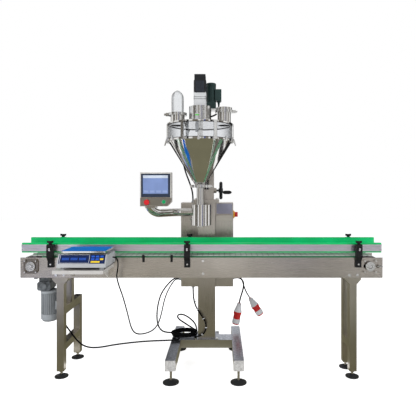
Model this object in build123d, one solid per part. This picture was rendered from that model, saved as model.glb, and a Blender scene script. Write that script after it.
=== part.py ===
from build123d import *
import math
import os

os.makedirs("parts", exist_ok=True)

# Auger powder filler with its own slat conveyor and bench scale.
# Millimetres. X runs along the conveyor, Y away from the operator, Z up from the floor.

# Plan: the line is the vertical plane that holds the belt's and the nozzle's centre.
conveyor_width = 210.0
shelf_depth = 275.0
column_gap = 80.0
column_side = 130.0
cabinet_depth = 200.0
cover_thickness = 3.0
cover_screw_height = 3.0
front_reach = conveyor_width / 2 + shelf_depth
rear_reach = (conveyor_width / 2 + column_gap + column_side + cabinet_depth
              + cover_thickness + cover_screw_height)
line_y = (front_reach - rear_reach) / 2
running_gap = 0.05
touch_gap = 0.3

# Conveyor
conveyor_length = 2500.0
plate_top = 831.0
plate_height = 140.0
plate_thickness = 3.0
plate_flange = 30.0
wear_strip_height = 9.0
wear_strip_width = 18.0
slat_thickness = 5.0
slat_pitch = 38.1
slat_groove = 2.0
belt_width = 190.0
belt_loop_radius = 73.0
belt_slack = 1.0
drive_inset = 76.0
idler_inset = 90.0
shaft_radius = 12.5
sprocket_width = 40.0
sprocket_offset = 50.0
bearing_side = 100.0
bearing_depth = 14.0
stretcher_radius = 10.0
stretcher_xs = (-700.0, -350.0, 380.0, 760.0)
tie_x = 11.0
tie_drops = (110.0, 22.0)
take_up_slot = 84.0

# Guide rails
lane_width = 124.0
rail_height = 67.0
rail_lip = 10.0
guide_thickness = 8.0
extrusion_depth = 18.0
front_rail_rise = 31.0
rear_rail_rise = 53.0
rail_rod_radius = 6.0
rail_rod_stub = 8.0
bracket_insets = (213.0, 170.0)
middle_bracket_x = -98.0
bracket_width = 41.0
bracket_depth = 35.0
bracket_foot = 14.0
bracket_drop = 66.0
bracket_above_rod = 29.0
knob_height = 15.0
knob_neck = 10.0

# Conveyor legs
leg_tube = 50.0
tube_wall = 2.5
leg_inset = 25.0
leg_bottom = 45.0
left_leg_inset = 275.0
right_leg_inset = 203.0
outrigger_reach = 180.0
upper_bar_height = (430.0, 485.0)
lower_bar_height = (180.0, 230.0)
right_bar_height = (200.0, 250.0)
leg_head_width = 110.0
leg_head_height = 45.0
conveyor_pad_radius = 46.0

# Conveyor drive
gearbox_inset = 140.0
gearbox_size = (92.0, 110.0, 62.0)
gearbox_drop = 39.0
saddle_strap = 20.0
strap_thickness = 8.0
motor_inset = 161.0
motor_ribs = 24
cable_exit_shift = 71.0
rib_height = 6.0
rib_thickness = 3.0
terminal_box_reach = 25.0
terminal_box_rise = 83.0
terminal_box_height = 58.0
motor_radius = 60.0
motor_height = 221.0

# Base and column
base_centre_x = 25.0
base_track = 456.0
base_tube = 70.0
base_top = 166.0
base_front_reach = 225.0
base_rear_reach = 495.0
crossbar_height = 60.0
crossbar_top = 160.0
foot_plate_side = 190.0
foot_plate_thickness = 12.0
base_pad_radius = 55.0
column_rise = 249.0
column_wall = 4.0
tie_block_width = 90.0
coil_x = -146.0
coil_size = (206.0, 150.0)
coil_bundle = 36.0
coil_height = 32.0

# Cabinet
cabinet_x = (-180.0, 231.0)
cabinet_drop = 5.0
cabinet_height = 660.0
cabinet_wall = 2.0
bare_plate_x = (95.0, 228.0)
bare_plate_drops = (90.0, 3.0)
relay_box_x = (95.0, 224.0)
relay_box_drops = (141.0, 95.0)
relay_box_depth = 42.0
gland_radius = 11.0
gland_length = 25.0
left_gland_rise = 46.0
right_gland_rise = 57.0
gland_reaches = (60.0, 110.0)
floor_gland = (-86.0, 25.0)
roof_gland = (-93.0, 100.0)
isolator_side = 60.0
isolator_rise = 565.0
isolator_depth = 14.0

# Lift
lift_side = 110.0
lift_wall = 6.0
lift_height = 286.0
lift_slot = 34.0
lift_screw_radius = 12.0
nut_side = 56.0
carriage_rise = 33.0
carriage_height = 80.0
carriage_width = 150.0
carriage_front = 165.0
carriage_plate = 12.0
lift_drop = 60.0
wheel_rise = 92.0
wheel_x = 134.0
wheel_radius = 56.0
wheel_rim = 12.5
wheel_shaft_radius = 8.0
grip_radius = 13.5
grip_length = 62.0
grip_pin_radius = 4.0
grip_drop = 14.0

# Filling head
nozzle_x = -14.0
head_rise = 113.0
cone_height = 303.0
neck_radius = 39.0
hopper_radius = 225.0
sheet = 3.0
ring_radius = 232.0
ring_height = 12.0
window_radius = 228.0
window_wall = 8.0
window_height = 105.0
lid_thickness = 10.0
tie_bar_angles = (62.0, 118.0, 180.0, 242.0, 298.0, 0.0)
tie_bar_width = 22.0
tie_bar_thickness = 6.0
ferrule = 13.0
tube_radius = 25.0
tube_drop = 302.0
bore_radius = 23.0
shield_radius = 70.0
shield_offset = 8.0
shield_rise = 11.0
shield_height = 147.0
shield_wall = 2.0
auger_radius = 22.4
auger_root = 8.0
auger_pitch = 40.0
flight_thickness = 2.4
flight_turns = 8.0
auger_shaft_radius = 12.0
agitator_tube_radius = 20.0
blade_clearance = 14.0
blade_width = 18.0
blade_thickness = 7.0
stand_radius = 78.5
stand_height = 123.0
drive_side = 88.0
drive_height = 85.0
servo_side = 87.0
servo_height = 100.0
servo_cap_height = 42.0
servo_plug_height = 30.0
stirring_x = 62.0
stirring_behind = 105.0
stirring_radius = 36.0
stirring_gear_height = 50.0
stirring_motor_height = 143.0
stirring_cowl = 22.0
stirring_box_rise = 10.0
stirring_box_height = 85.0
stirring_box_reach = 40.0
vent_x = -175.0
vent_radius = 53.5
vent_rise = 63.0
inlet_x = 157.0
inlet_radius = 51.0
inlet_rise = 83.0
clamp_height = 20.0
clamp_reach = 12.0
dome_radius = 44.0
dome_wall = 2.0
dome_height = 177.0
cap_radius = 56.0
cap_height = 45.0
sensor_x = -27.0
sensor_reach = 176.0
sensor_radius = 11.0
sensor_depth = 77.0

# Touch panel
panel_x = (-445.0, -220.0)
panel_height = 243.0
panel_front = 5.0
panel_depth = 62.0
panel_wall = 2.0
panel_corner_cut = 30.0
bezel_inset = 9.0
strip_height = 66.0
stop_place = (49.0, 29.0)
start_place = (171.0, 32.0)
plunger_radius = 11.0
arm_x = -396.0
arm_below_top = 74.0
panel_rise = 54.0
arm_radius = 30.0
arm_wall = 2.0
arm_bend = 110.0
arm_reach = 180.0
swivel_x = -368.0
seat_width = 90.0
seat_thickness = 12.0

# Scale
shelf_gap = 112.0
shelf_width = 320.0
shelf_drop = 39.0
shelf_lip = 22.0
shelf_sheet = 3.0
scale_shift = 25.0
scale_width = 309.0
scale_foot = 18.0
scale_height = 79.0
scale_console = 8.0
scale_rear_gap = 20.0
platter_size = (284.0, 220.0)
platter_gap = 11.0
platter_height = 11.0
platter_shift = 186.0
sensor_xs = (-206.0, -400.0)

# Worked out from the sizes above
left_end = -conveyor_length / 2
right_end = conveyor_length / 2
drive_x = left_end + drive_inset
idler_x = right_end - idler_inset
bracket_xs = (left_end + bracket_insets[0], middle_bracket_x, right_end - bracket_insets[1])
left_leg_x = left_end + left_leg_inset
right_leg_x = right_end - right_leg_inset
gearbox_x = left_end + gearbox_inset
motor_x = left_end + motor_inset
cable_exit_x = motor_x + cable_exit_shift
shelf_x = (bracket_xs[0] + shelf_gap, bracket_xs[0] + shelf_gap + shelf_width)
scale_x = (shelf_x[0] + scale_shift, shelf_x[0] + scale_shift + scale_width)
platter_x = shelf_x[0] + platter_shift
plate_bottom = plate_top - plate_height
tie_heights = [plate_top - drop for drop in tie_drops]
front_rail_bottom = plate_top + front_rail_rise
rear_rail_bottom = plate_top + rear_rail_rise
rear_rail_top = rear_rail_bottom + rail_height
bracket_bottom = plate_top - bracket_drop
gearbox_top = plate_bottom - gearbox_drop
motor_bottom = gearbox_top - gearbox_size[2] - motor_height
terminal_box_z = (motor_bottom + terminal_box_rise, motor_bottom + terminal_box_rise + terminal_box_height)
shelf_top = plate_top - shelf_drop
scale_top = shelf_top + scale_foot + scale_height
platter_z = (scale_top + platter_gap, scale_top + platter_gap + platter_height)
plate_face = conveyor_width / 2
belt_top = plate_top + wear_strip_height + slat_thickness
belt_axis_z = belt_top - belt_loop_radius
sprocket_radius = belt_loop_radius - slat_thickness - belt_slack
column_front = line_y + plate_face + column_gap
column_y = column_front + column_side / 2
cabinet_front = column_front + column_side
cabinet_back = cabinet_front + cabinet_depth
column_top = rear_rail_top + column_rise
cabinet_top = column_top - cabinet_drop
cabinet_z = (cabinet_top - cabinet_height, cabinet_top)
bare_plate_z = [cabinet_top - drop for drop in bare_plate_drops]
relay_box_z = [cabinet_top - drop for drop in relay_box_drops]
flange_side = foot_plate_side
lift_bottom = column_top + 2 * foot_plate_thickness
lift_top = lift_bottom + lift_height
wheel_height = column_top + wheel_rise
grip_y = column_y - math.sqrt(wheel_radius ** 2 - grip_drop ** 2)
grip_height = wheel_height - grip_drop
cone_bottom = lift_bottom + head_rise
cone_top = cone_bottom + cone_height
cone_slope = (hopper_radius - neck_radius) / cone_height
carriage_z = (cone_bottom + carriage_rise, cone_bottom + carriage_rise + carriage_height)
ring_top = cone_top + ring_height
lid_bottom = ring_top + window_height
lid_top = lid_bottom + lid_thickness
tube_bottom = cone_bottom - tube_drop
shield_z = (tube_bottom + shield_rise, tube_bottom + shield_rise + shield_height)
stand_top = lid_top + stand_height
drive_top = stand_top + drive_height
vent_top = lid_top + vent_rise
dome_top = vent_top + dome_height
inlet_top = lid_top + inlet_rise
cap_top = inlet_top + cap_height
stirring_y = line_y + stirring_behind
arm_height = column_top - arm_below_top
panel_z = (arm_height + panel_rise, arm_height + panel_rise + panel_height)
panel_y = (line_y + panel_front, line_y + panel_front + panel_depth)
stop_x, stop_z = panel_x[0] + stop_place[0], panel_z[0] + stop_place[1]
start_x, start_z = panel_x[0] + start_place[0], panel_z[0] + start_place[1]
isolator_y = cabinet_front + isolator_side
isolator_z = cabinet_z[0] + isolator_rise


def block(x, y, z):
    """A box from its three (low, high) spans."""
    return Pos(sum(x) / 2, sum(y) / 2, sum(z) / 2) * Box(x[1] - x[0], y[1] - y[0], z[1] - z[0])


def about(centre, width):
    """The (low, high) span of a width about its centre."""
    return (centre - width / 2, centre + width / 2)


def rod_x(y, z, x, radius):
    return Pos(sum(x) / 2, y, z) * Rot(0, 90, 0) * Cylinder(radius, abs(x[1] - x[0]))


def rod_y(x, z, y, radius):
    return Pos(x, sum(y) / 2, z) * Rot(90, 0, 0) * Cylinder(radius, abs(y[1] - y[0]))


def rod_z(x, y, z, radius):
    return Pos(x, y, sum(z) / 2) * Cylinder(radius, abs(z[1] - z[0]))


def tube(x, y, z, along, wall=tube_wall):
    """A square tube, open at both ends, from its outer spans."""
    spans = {"x": x, "y": y, "z": z}
    inner = [s if name == along else (s[0] + wall, s[1] - wall) for name, s in spans.items()]
    return block(x, y, z) - block(*inner)


def turned(points, x=0.0, y=0.0):
    """A solid turned about a vertical axis, from its (radius, height) outline."""
    outline = make_face(Polyline([(r, 0, z) for r, z in points], close=True))
    return Pos(x, y, 0) * revolve(outline, Axis.Z)


def prism_x(points, x):
    """A prism along X, from its (y, z) outline."""
    outline = make_face(Polyline([(x[0], py, pz) for py, pz in points], close=True))
    return extrude(outline, amount=x[1] - x[0], dir=(1, 0, 0))


def prism_y(points, y):
    """A prism along Y, from its (x, z) outline."""
    outline = make_face(Polyline([(px, y[0], pz) for px, pz in points], close=True))
    return extrude(outline, amount=y[1] - y[0], dir=(0, 1, 0))


def hex_head(place, across, height):
    """A hexagon bolt head that stands on a plane."""
    return place * extrude(RegularPolygon(across / 2, 6, major_radius=False), amount=height)


def both_sides(make):
    """One shape at the operator's side of the line and its mirror image behind."""
    front = make()
    return [front, mirror(front, Plane.XZ.offset(-line_y))]


def levelling_foot(x, y, pad_radius, stem_top):
    """A conical pad with its threaded stem and lock nut."""
    pad_height = 20.0
    stem_radius = 8.0
    nut_radius = 14.0
    nut_height = 10.0
    return turned([(0, 0), (pad_radius, 0), (pad_radius, 6), (nut_radius, pad_height),
                   (stem_radius, pad_height), (stem_radius, stem_top - nut_height),
                   (nut_radius, stem_top - nut_height), (nut_radius, stem_top), (0, stem_top)], x, y)


def corner_radii(points):
    """The largest radius that fits each corner of a cord's route."""
    radii = []
    for before, corner, after in zip(points, points[1:], points[2:]):
        arriving = Vector(*corner) - Vector(*before)
        leaving = Vector(*after) - Vector(*corner)
        half_turn = math.radians(arriving.get_angle(leaving) / 2)
        radii.append(0.45 * min(arriving.length, leaving.length) / math.tan(half_turn))
    return radii


def cord_tube(name, points, diameter):
    """A cord's round tube along straight runs joined by tangent arcs."""
    radii = corner_radii(points)
    path = FilletPolyline(*points, radius=radii)
    section = Plane(origin=path @ 0, z_dir=path % 0) * Circle(diameter / 2)
    cord = sweep(section, path=path)
    plain = math.pi * diameter ** 2 / 4 * path.length
    print(f"{name}: length {path.length:.0f}, volume ratio {cord.volume / plain:.4f},",
          f"least radius {min(radii) / diameter:.1f} diameters,",
          "radii", [round(radius) for radius in radii])
    return cord


# Base, column and cabinet

def base_frame():
    """H-shaped base of square tube with the plate that the column stands on."""
    y = (line_y - base_front_reach, line_y + base_rear_reach)
    z = (base_top - base_tube, base_top)
    shapes = []
    for side in (-1, 1):
        x = about(base_centre_x + side * base_track / 2, base_tube)
        shapes.append(tube(x, (y[0] + tube_wall, y[1] - tube_wall), z, "y"))
        shapes.append(block(x, (y[0], y[0] + tube_wall), z))
        shapes.append(block(x, (y[1] - tube_wall, y[1]), z))
    bar_x = about(base_centre_x, base_track - base_tube)
    bar_z = (crossbar_top - crossbar_height, crossbar_top)
    shapes.append(tube(bar_x, (column_front, column_front + column_side), bar_z, "x"))
    plate_z = (crossbar_top, crossbar_top + foot_plate_thickness)
    shapes.append(block(about(base_centre_x, foot_plate_side), about(column_y, foot_plate_side), plate_z))
    return shapes


def levelling_feet():
    """Pads under the base, the conveyor's legs and the outrigger leg."""
    shapes = []
    for side in (-1, 1):
        x = base_centre_x + side * base_track / 2
        for y in (line_y - base_front_reach + 50, line_y + base_rear_reach - 60):
            shapes.append(levelling_foot(x, y, base_pad_radius, base_top - base_tube))
    front = line_y - plate_face + leg_inset
    rear = line_y + plate_face - leg_inset
    for x, y in ((left_leg_x, front), (left_leg_x, rear + outrigger_reach),
                 (right_leg_x, front), (right_leg_x, rear)):
        shapes.append(levelling_foot(x, y, conveyor_pad_radius, leg_bottom))
    return shapes


def main_column():
    """Square column with its top flange and the arm that holds the conveyor."""
    z = (crossbar_top + foot_plate_thickness, column_top)
    x = about(base_centre_x, column_side)
    post = tube(x, about(column_y, column_side), z, "z", column_wall)
    flange = block(about(base_centre_x, flange_side), about(column_y, flange_side),
                   (column_top, column_top + foot_plate_thickness))
    tie_z = (min(tie_heights) - 12, max(tie_heights) + 12)
    tie = tube(about(tie_x, tie_block_width), (line_y + plate_face, column_front), tie_z, "y", column_wall)
    return [post, flange, tie]


def frame_fasteners():
    """Hexagon bolts of the flanges, the conveyor tie, the leg heads and the take-up."""
    head = 18.0
    height = 8.0
    shapes = []
    reach = flange_side / 2 - 15
    for x in (base_centre_x - reach, base_centre_x + reach):
        for y in (column_y - reach, column_y + reach):
            for z in (crossbar_top + foot_plate_thickness, lift_bottom):
                shapes.append(hex_head(Plane(origin=(x, y, z)), head, height))
    front = line_y - plate_face
    for z in tie_heights:
        shapes.append(hex_head(Plane(origin=(tie_x, front, z), z_dir=(0, -1, 0)), head, height))
    for x in (left_leg_x, right_leg_x):
        for side in (-1, 1):
            place = Plane(origin=(x + side * leg_head_width / 4, front, plate_bottom + 20), z_dir=(0, -1, 0))
            shapes.append(hex_head(place, head, height))
    return shapes


def control_cabinet():
    """Folded cabinet, open at the back, with the plate and relay box on its front."""
    y = (cabinet_front, cabinet_back)
    inner = block((cabinet_x[0] + cabinet_wall, cabinet_x[1] - cabinet_wall),
                  (y[0] + cabinet_wall, y[1]),
                  (cabinet_z[0] + cabinet_wall, cabinet_z[1] - cabinet_wall))
    housing = block(cabinet_x, y, cabinet_z) - inner
    plate = block(bare_plate_x, (y[0] - cabinet_wall, y[0]), bare_plate_z)
    relay_box = block(relay_box_x, (y[0] - relay_box_depth, y[0]), relay_box_z)
    return [housing, plate, relay_box]


def cabinet_cover():
    """Rear cover with its screws."""
    y = (cabinet_back, cabinet_back + cover_thickness)
    shapes = [block(cabinet_x, y, cabinet_z)]
    inset = 15.0
    for x in (cabinet_x[0] + inset, cabinet_x[1] - inset):
        for z in (cabinet_z[0] + inset, sum(cabinet_z) / 2, cabinet_z[1] - inset):
            shapes.append(rod_y(x, z, (y[1], y[1] + cover_screw_height), 6))
    return shapes


def gland(place):
    """A cable gland: hexagon body and domed nut, standing on a plane."""
    body = hex_head(place, 2 * gland_radius, 8)
    nut = place * Pos(0, 0, 8) * extrude(Circle(gland_radius - 2), amount=gland_length - 8, taper=6)
    return body + nut


def cable_glands():
    """Cable entries of the cabinet and of the conveyor motor's terminal box."""
    places = [Plane(origin=(floor_gland[0], cabinet_front + floor_gland[1], cabinet_z[0]), z_dir=(0, 0, -1)),
              Plane(origin=(roof_gland[0], cabinet_front + roof_gland[1], cabinet_z[1]), z_dir=(0, 0, 1))]
    for reach in gland_reaches:
        y = cabinet_front + reach
        left = (cabinet_x[0], y, cabinet_z[0] + left_gland_rise)
        right = (cabinet_x[1], y, cabinet_z[0] + right_gland_rise)
        places += [Plane(origin=left, z_dir=(-1, 0, 0)), Plane(origin=right, z_dir=(1, 0, 0))]
    return [gland(place) for place in places]


def isolator_base():
    """Square base of the main switch on the cabinet's side."""
    x = cabinet_x[1]
    flange = 8.0
    plate = block((x, x + flange), about(isolator_y, isolator_side), about(isolator_z, isolator_side))
    plate = chamfer(plate.edges().filter_by(Axis.X), 6)
    boss = rod_x(isolator_y, isolator_z, (x + flange, x + isolator_depth), 0.4 * isolator_side)
    return [plate + boss]


def isolator_knob():
    """Rotary handle of the main switch."""
    x = cabinet_x[1] + isolator_depth
    disc_top = x + 9
    disc = rod_x(isolator_y, isolator_z, (x + touch_gap, disc_top), isolator_side / 3)
    bar = block((disc_top, disc_top + 15), about(isolator_y, 12), about(isolator_z, 38))
    return [disc + chamfer(bar.faces().sort_by(Axis.X)[-1].edges(), 3)]


# Lift

def lift_column():
    """Slotted column that guides the carriage, with its base plate, cap and wheel boss."""
    x = about(base_centre_x, lift_side)
    y = about(column_y, lift_side)
    z = (lift_bottom, lift_top)
    cap = 5.0
    inside = (x[0] + lift_wall, x[1] - lift_wall)
    front = (y[0], y[0] + lift_wall)
    walls = [block((x[0], inside[0]), y, z), block(inside, (y[1] - lift_wall, y[1]), z)]
    right = block((x[1] - lift_wall, x[1]), y, z)
    boss = rod_x(column_y, wheel_height, (x[1], x[1] + 20), 20)
    bore = rod_x(column_y, wheel_height, (x[1] - 2 * lift_wall, x[1] + 30), wheel_shaft_radius + running_gap)
    walls.append(right + boss - bore)
    slot = about(base_centre_x, lift_slot)
    slot_bottom = carriage_z[0] - lift_drop - 10
    walls.append(block((inside[0], slot[0]), front, z))
    walls.append(block((slot[1], inside[1]), front, z))
    walls.append(block(slot, front, (lift_bottom, slot_bottom)))
    walls.append(block(x, y, (lift_top, lift_top + cap)))
    screw_hole = lift_screw_radius + running_gap
    screw_end = rod_z(base_centre_x, column_y, (column_top, lift_bottom + 40), screw_hole)
    plate = block(about(base_centre_x, flange_side), about(column_y, flange_side),
                  (column_top + foot_plate_thickness, lift_bottom))
    bearing = rod_z(base_centre_x, column_y, (lift_bottom, lift_bottom + 12), 24)
    walls.append(plate + bearing - screw_end)
    return walls


def lift_screw():
    """Lead screw that raises the carriage."""
    z = (column_top + foot_plate_thickness + 1, lift_top - 1)
    collar = rod_z(base_centre_x, column_y, (lift_bottom + 12 + touch_gap, lift_bottom + 24), 22)
    return [rod_z(base_centre_x, column_y, z, lift_screw_radius) + collar]


def handwheel():
    """Spoked handwheel with its shaft and the pin of its grip."""
    rim = Pos(wheel_x, column_y, wheel_height) * Rot(0, 90, 0) * Torus(wheel_radius, wheel_rim)
    hub = rod_x(column_y, wheel_height, (wheel_x - 18, wheel_x + 16), 17)
    wheel = rim + hub
    for angle in (90, 210, 330):
        spoke = Pos(wheel_x, column_y, wheel_height) * Rot(angle, 0, 0) * Pos(0, 0, wheel_radius / 2)
        wheel += spoke * Box(10, 14, wheel_radius)
    shaft_x = (base_centre_x + lift_side / 2 - 2 * lift_wall, wheel_x)
    wheel += rod_x(column_y, wheel_height, shaft_x, wheel_shaft_radius)
    pin_x = (wheel_x, wheel_x + wheel_rim + grip_length + 8)
    wheel += rod_x(grip_y, grip_height, pin_x, grip_pin_radius)
    return [wheel]


def crank_grip():
    """Revolving grip on the handwheel's pin."""
    x = wheel_x + wheel_rim + 4
    profile = [(grip_pin_radius + running_gap, 0), (grip_radius - 4, 0), (grip_radius, 14),
               (grip_radius, grip_length - 14), (grip_radius - 5, grip_length),
               (grip_pin_radius + running_gap, grip_length)]
    return [Pos(x, grip_y, grip_height) * Rot(0, 90, 0) * turned(profile)]


def head_carriage():
    """Nut, neck and plate that ride the lift, with gussets welded under the cone."""
    bore = rod_z(base_centre_x, column_y, carriage_z, lift_screw_radius + running_gap)
    nut = block(about(base_centre_x, nut_side), about(column_y, nut_side), carriage_z) - bore
    front = line_y + carriage_front
    neck_y = (front + carriage_plate, column_y - nut_side / 2)
    neck = block(about(base_centre_x, lift_slot - 2 * touch_gap), neck_y, carriage_z)
    plate = block(about(nozzle_x, carriage_width), (front, front + carriage_plate), carriage_z)
    cone = turned([(0, cone_bottom), (neck_radius, cone_bottom), (hopper_radius, cone_top), (0, cone_top)],
                  nozzle_x, line_y)
    shapes = [nut + neck + plate]
    gusset_top = cone_bottom + (carriage_front - neck_radius) / cone_slope
    for offset in (-60, 60):
        outline = [(line_y, carriage_z[0]), (front, carriage_z[0]), (front, gusset_top), (line_y, gusset_top)]
        gusset = prism_x(outline, about(nozzle_x + offset, 8)) - cone
        shapes.append(max(gusset.solids(), key=lambda solid: solid.center().Y))
    return shapes


# Filling head

def hopper_cone():
    """Conical hopper with its bottom ferrule and top ring."""
    inner = [(hopper_radius - sheet, cone_top), (neck_radius - sheet, cone_bottom),
             (neck_radius - sheet, cone_bottom - ferrule)]
    outer = [(neck_radius + 6, cone_bottom - ferrule), (neck_radius + 6, cone_bottom - ferrule + 4),
             (neck_radius, cone_bottom - ferrule + 6), (neck_radius, cone_bottom), (hopper_radius, cone_top)]
    ring = [(ring_radius, cone_top), (ring_radius, ring_top), (hopper_radius - sheet, ring_top)]
    return [turned(inner + outer + ring, nozzle_x, line_y)]


def hopper_window():
    """Clear cylinder between the cone and the lid."""
    inner = window_radius - window_wall
    return [turned([(inner, ring_top), (window_radius, ring_top), (window_radius, lid_bottom),
                    (inner, lid_bottom)], nozzle_x, line_y)]


def hopper_lid():
    """Lid with its vent neck, inlet neck and the bores of the shaft and the sensor."""
    lid = rod_z(nozzle_x, line_y, (lid_bottom, lid_top), ring_radius)
    for x, radius, top in ((vent_x, vent_radius, vent_top), (inlet_x, inlet_radius, inlet_top)):
        lid += rod_z(x, line_y, (lid_top, top), radius - 4)
        lid += rod_z(x, line_y, (top - 4, top), radius)
        lid -= rod_z(x, line_y, (lid_bottom, top), radius - 6)
    lid -= rod_z(nozzle_x, line_y, (lid_bottom, lid_top), agitator_tube_radius + running_gap)
    lid -= rod_z(sensor_x, line_y - sensor_reach, (lid_bottom, lid_top), sensor_radius)
    return [lid]


def hopper_tie_bars():
    """Flat tie bars round the window, and two toggle latches on the cone's ring."""
    shapes = []
    for angle in tie_bar_angles:
        low = cone_top if angle not in (0.0, 180.0) else ring_top + 14
        bar = block((ring_radius, ring_radius + tie_bar_thickness), about(0, tie_bar_width), (low, lid_top))
        shapes.append(Pos(nozzle_x, line_y, 0) * Rot(0, 0, angle) * bar)
    for angle in (0.0, 180.0):
        base = block((ring_radius, ring_radius + 5), about(0, 26), (cone_top - 10, ring_top + 14))
        base -= rod_z(0, 0, (cone_top - 20, cone_top), hopper_radius + 7)
        lever = prism_y([(ring_radius + 5, ring_top + 10), (ring_radius + 12, ring_top + 6),
                         (ring_radius + 24, cone_top - 26), (ring_radius + 19, cone_top - 28),
                         (ring_radius + 5, cone_top + 2)], about(0, 18))
        shapes.append(Pos(nozzle_x, line_y, 0) * Rot(0, 0, angle) * (base + lever))
    return shapes


def motor_stand():
    """Drum that carries the drives, with the rear plate of the stirring motor."""
    inner = stand_radius - 4
    plate = 10.0
    flange = stand_radius + 10
    bore = auger_shaft_radius + 4
    drum = turned([(inner, lid_top), (flange, lid_top), (flange, lid_top + 8), (stand_radius, lid_top + 8),
                   (stand_radius, stand_top), (bore, stand_top), (bore, stand_top - plate),
                   (inner, stand_top - plate)], nozzle_x, line_y)
    side = 2 * stirring_radius + 10
    plate_z = (stand_top - plate, stand_top)
    shelf = block(about(stirring_x, side), (line_y + 60, stirring_y + side / 2), plate_z)
    shelf -= rod_z(nozzle_x, line_y, plate_z, stand_radius - 2)
    return [drum + shelf]


def drive_gearbox():
    """Square planetary gearbox of the auger drive."""
    x, y = about(nozzle_x, drive_side), about(line_y, drive_side)
    flange = 10.0
    body = block(x, y, (stand_top + flange, drive_top - flange))
    body = chamfer(body.edges().filter_by(Axis.Z), 8)
    body += block(x, y, (stand_top, stand_top + flange))
    body += block(x, y, (drive_top - flange, drive_top))
    return [body]


def servo_motor():
    """Servo motor with its encoder cap and connectors."""
    half = servo_side / 2
    body_top = drive_top + servo_height
    body = block(about(nozzle_x, servo_side), about(line_y, servo_side), (drive_top, body_top))
    body = chamfer(body.edges().filter_by(Axis.Z), 10)
    cap_side = servo_side - 8
    cap = block(about(nozzle_x, cap_side), about(line_y, cap_side), (body_top, body_top + servo_cap_height))
    cap = fillet(cap.edges().group_by(Axis.Z)[-1], 6)
    plug_z = (body_top - servo_plug_height - 10, body_top - 10)
    plug = block(about(nozzle_x, 26), (line_y + half, line_y + half + 18), plug_z)
    return [body + cap + plug]


def stirring_motor():
    """Geared motor that turns the agitator, with its terminal box and gland."""
    x, y, r = stirring_x, stirring_y, stirring_radius
    gear_top = stand_top + stirring_gear_height
    top = gear_top + stirring_motor_height
    box_bottom = gear_top + stirring_box_rise
    gear = block(about(x, 2 * r), about(y, 2 * r), (stand_top, gear_top))
    gear = chamfer(gear.edges().filter_by(Axis.Z), 8)
    body = rod_z(x, y, (gear_top, top - stirring_cowl), r - 3)
    body += rod_z(x, y, (gear_top, gear_top + 8), r)
    cap = rod_z(x, y, (top - stirring_cowl, top), r)
    cap = fillet(cap.edges().group_by(Axis.Z)[-1], 6)
    box_z = (box_bottom, box_bottom + stirring_box_height)
    box = block((x + r - 8, x + r + stirring_box_reach), about(y, 1.7 * r), box_z)
    box = fillet(box.edges().filter_by(Axis.Y), 5)
    entry = Plane(origin=(x + r + stirring_box_reach / 2, y, box_bottom), z_dir=(0, 0, -1))
    return [gear + body + cap + box + gland(entry)]


def clamp_ring(x, z, radius, handle):
    """Two-bolt pipe clamp with a lever at one side."""
    ring = turned([(radius, z), (radius + clamp_reach, z), (radius + clamp_reach, z + clamp_height),
                   (radius, z + clamp_height)], x, line_y)
    ears = block(about(x + handle * (radius + clamp_reach + 8), 22), about(line_y, 26), (z, z + clamp_height))
    lever = block(about(x + handle * (radius + clamp_reach + 24), 14), about(line_y, 14), (z + 4, z + 16))
    return ring + (ears - rod_z(x, line_y, (z, z + clamp_height), radius + clamp_reach / 2)) + lever


def head_clamps():
    """Pipe clamps of the vent, the inlet and the hopper's neck."""
    vent = clamp_ring(vent_x, vent_top - 4, vent_radius, -1)
    inlet = clamp_ring(inlet_x, inlet_top - 4, inlet_radius, 1)
    neck = clamp_ring(nozzle_x, cone_bottom - ferrule - 10, neck_radius + 6, 1)
    wing_z = (cone_bottom - ferrule - 10, cone_bottom - 3)
    wing = block(about(nozzle_x - neck_radius - 22, 20), about(line_y, 22), wing_z)
    wing -= rod_z(nozzle_x, line_y, wing_z, neck_radius + 6 + clamp_reach / 2)
    return [vent, inlet, neck + wing]


def vent_dome():
    """Clear dust dome on the vent: a straight wall that arches to a point, on a foot for its clamp."""
    foot = vent_radius - 1
    foot_top = vent_top + clamp_height + 6
    shoulder = dome_top - 1.1 * dome_radius
    inner = dome_radius - dome_wall
    tip = dome_top - 2 * dome_wall
    arch = [(0, 0, 1), (-1, 0, 0.7)]
    outline = Polyline((inner, 0, shoulder), (inner, 0, vent_top), (foot, 0, vent_top),
                       (foot, 0, vent_top + 4), (dome_radius, 0, foot_top), (dome_radius, 0, shoulder))
    outline += Spline((dome_radius, 0, shoulder), (0, 0, dome_top), tangents=arch)
    outline += Line((0, 0, dome_top), (0, 0, tip))
    outline += Spline((inner, 0, shoulder), (0, 0, tip), tangents=arch)
    return [Pos(vent_x, line_y, 0) * revolve(make_face(outline), Axis.Z)]


def inlet_cap():
    """Cap that lifts off the inlet neck."""
    z = inlet_top + touch_gap
    plug = inlet_radius - 1
    return [turned([(0, z), (plug, z), (plug, z + 17), (cap_radius, z + 17), (cap_radius, cap_top - 12),
                    (24, cap_top - 4), (10, cap_top), (0, cap_top)], inlet_x, line_y)]


def level_sensor():
    """Powder level sensor through the front of the lid."""
    probe = sensor_radius - running_gap
    tip = lid_top - sensor_depth
    nut_top = lid_top + 12
    head_top = lid_top + 46
    outline = [(0, tip), (probe - 1, tip), (probe, tip + 10), (probe, lid_top), (17, lid_top),
               (17, nut_top), (13, nut_top), (13, head_top), (0, head_top)]
    return [turned(outline, sensor_x, line_y - sensor_reach)]


def dosing_tube():
    """Filling tube clamped under the hopper."""
    top = cone_bottom - ferrule
    return [turned([(bore_radius, tube_bottom), (tube_radius, tube_bottom), (tube_radius, top - 12),
                    (neck_radius, top - 6), (neck_radius + 6, top - 4), (neck_radius + 6, top),
                    (neck_radius - sheet, top), (bore_radius, top - 12)], nozzle_x, line_y)]


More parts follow.
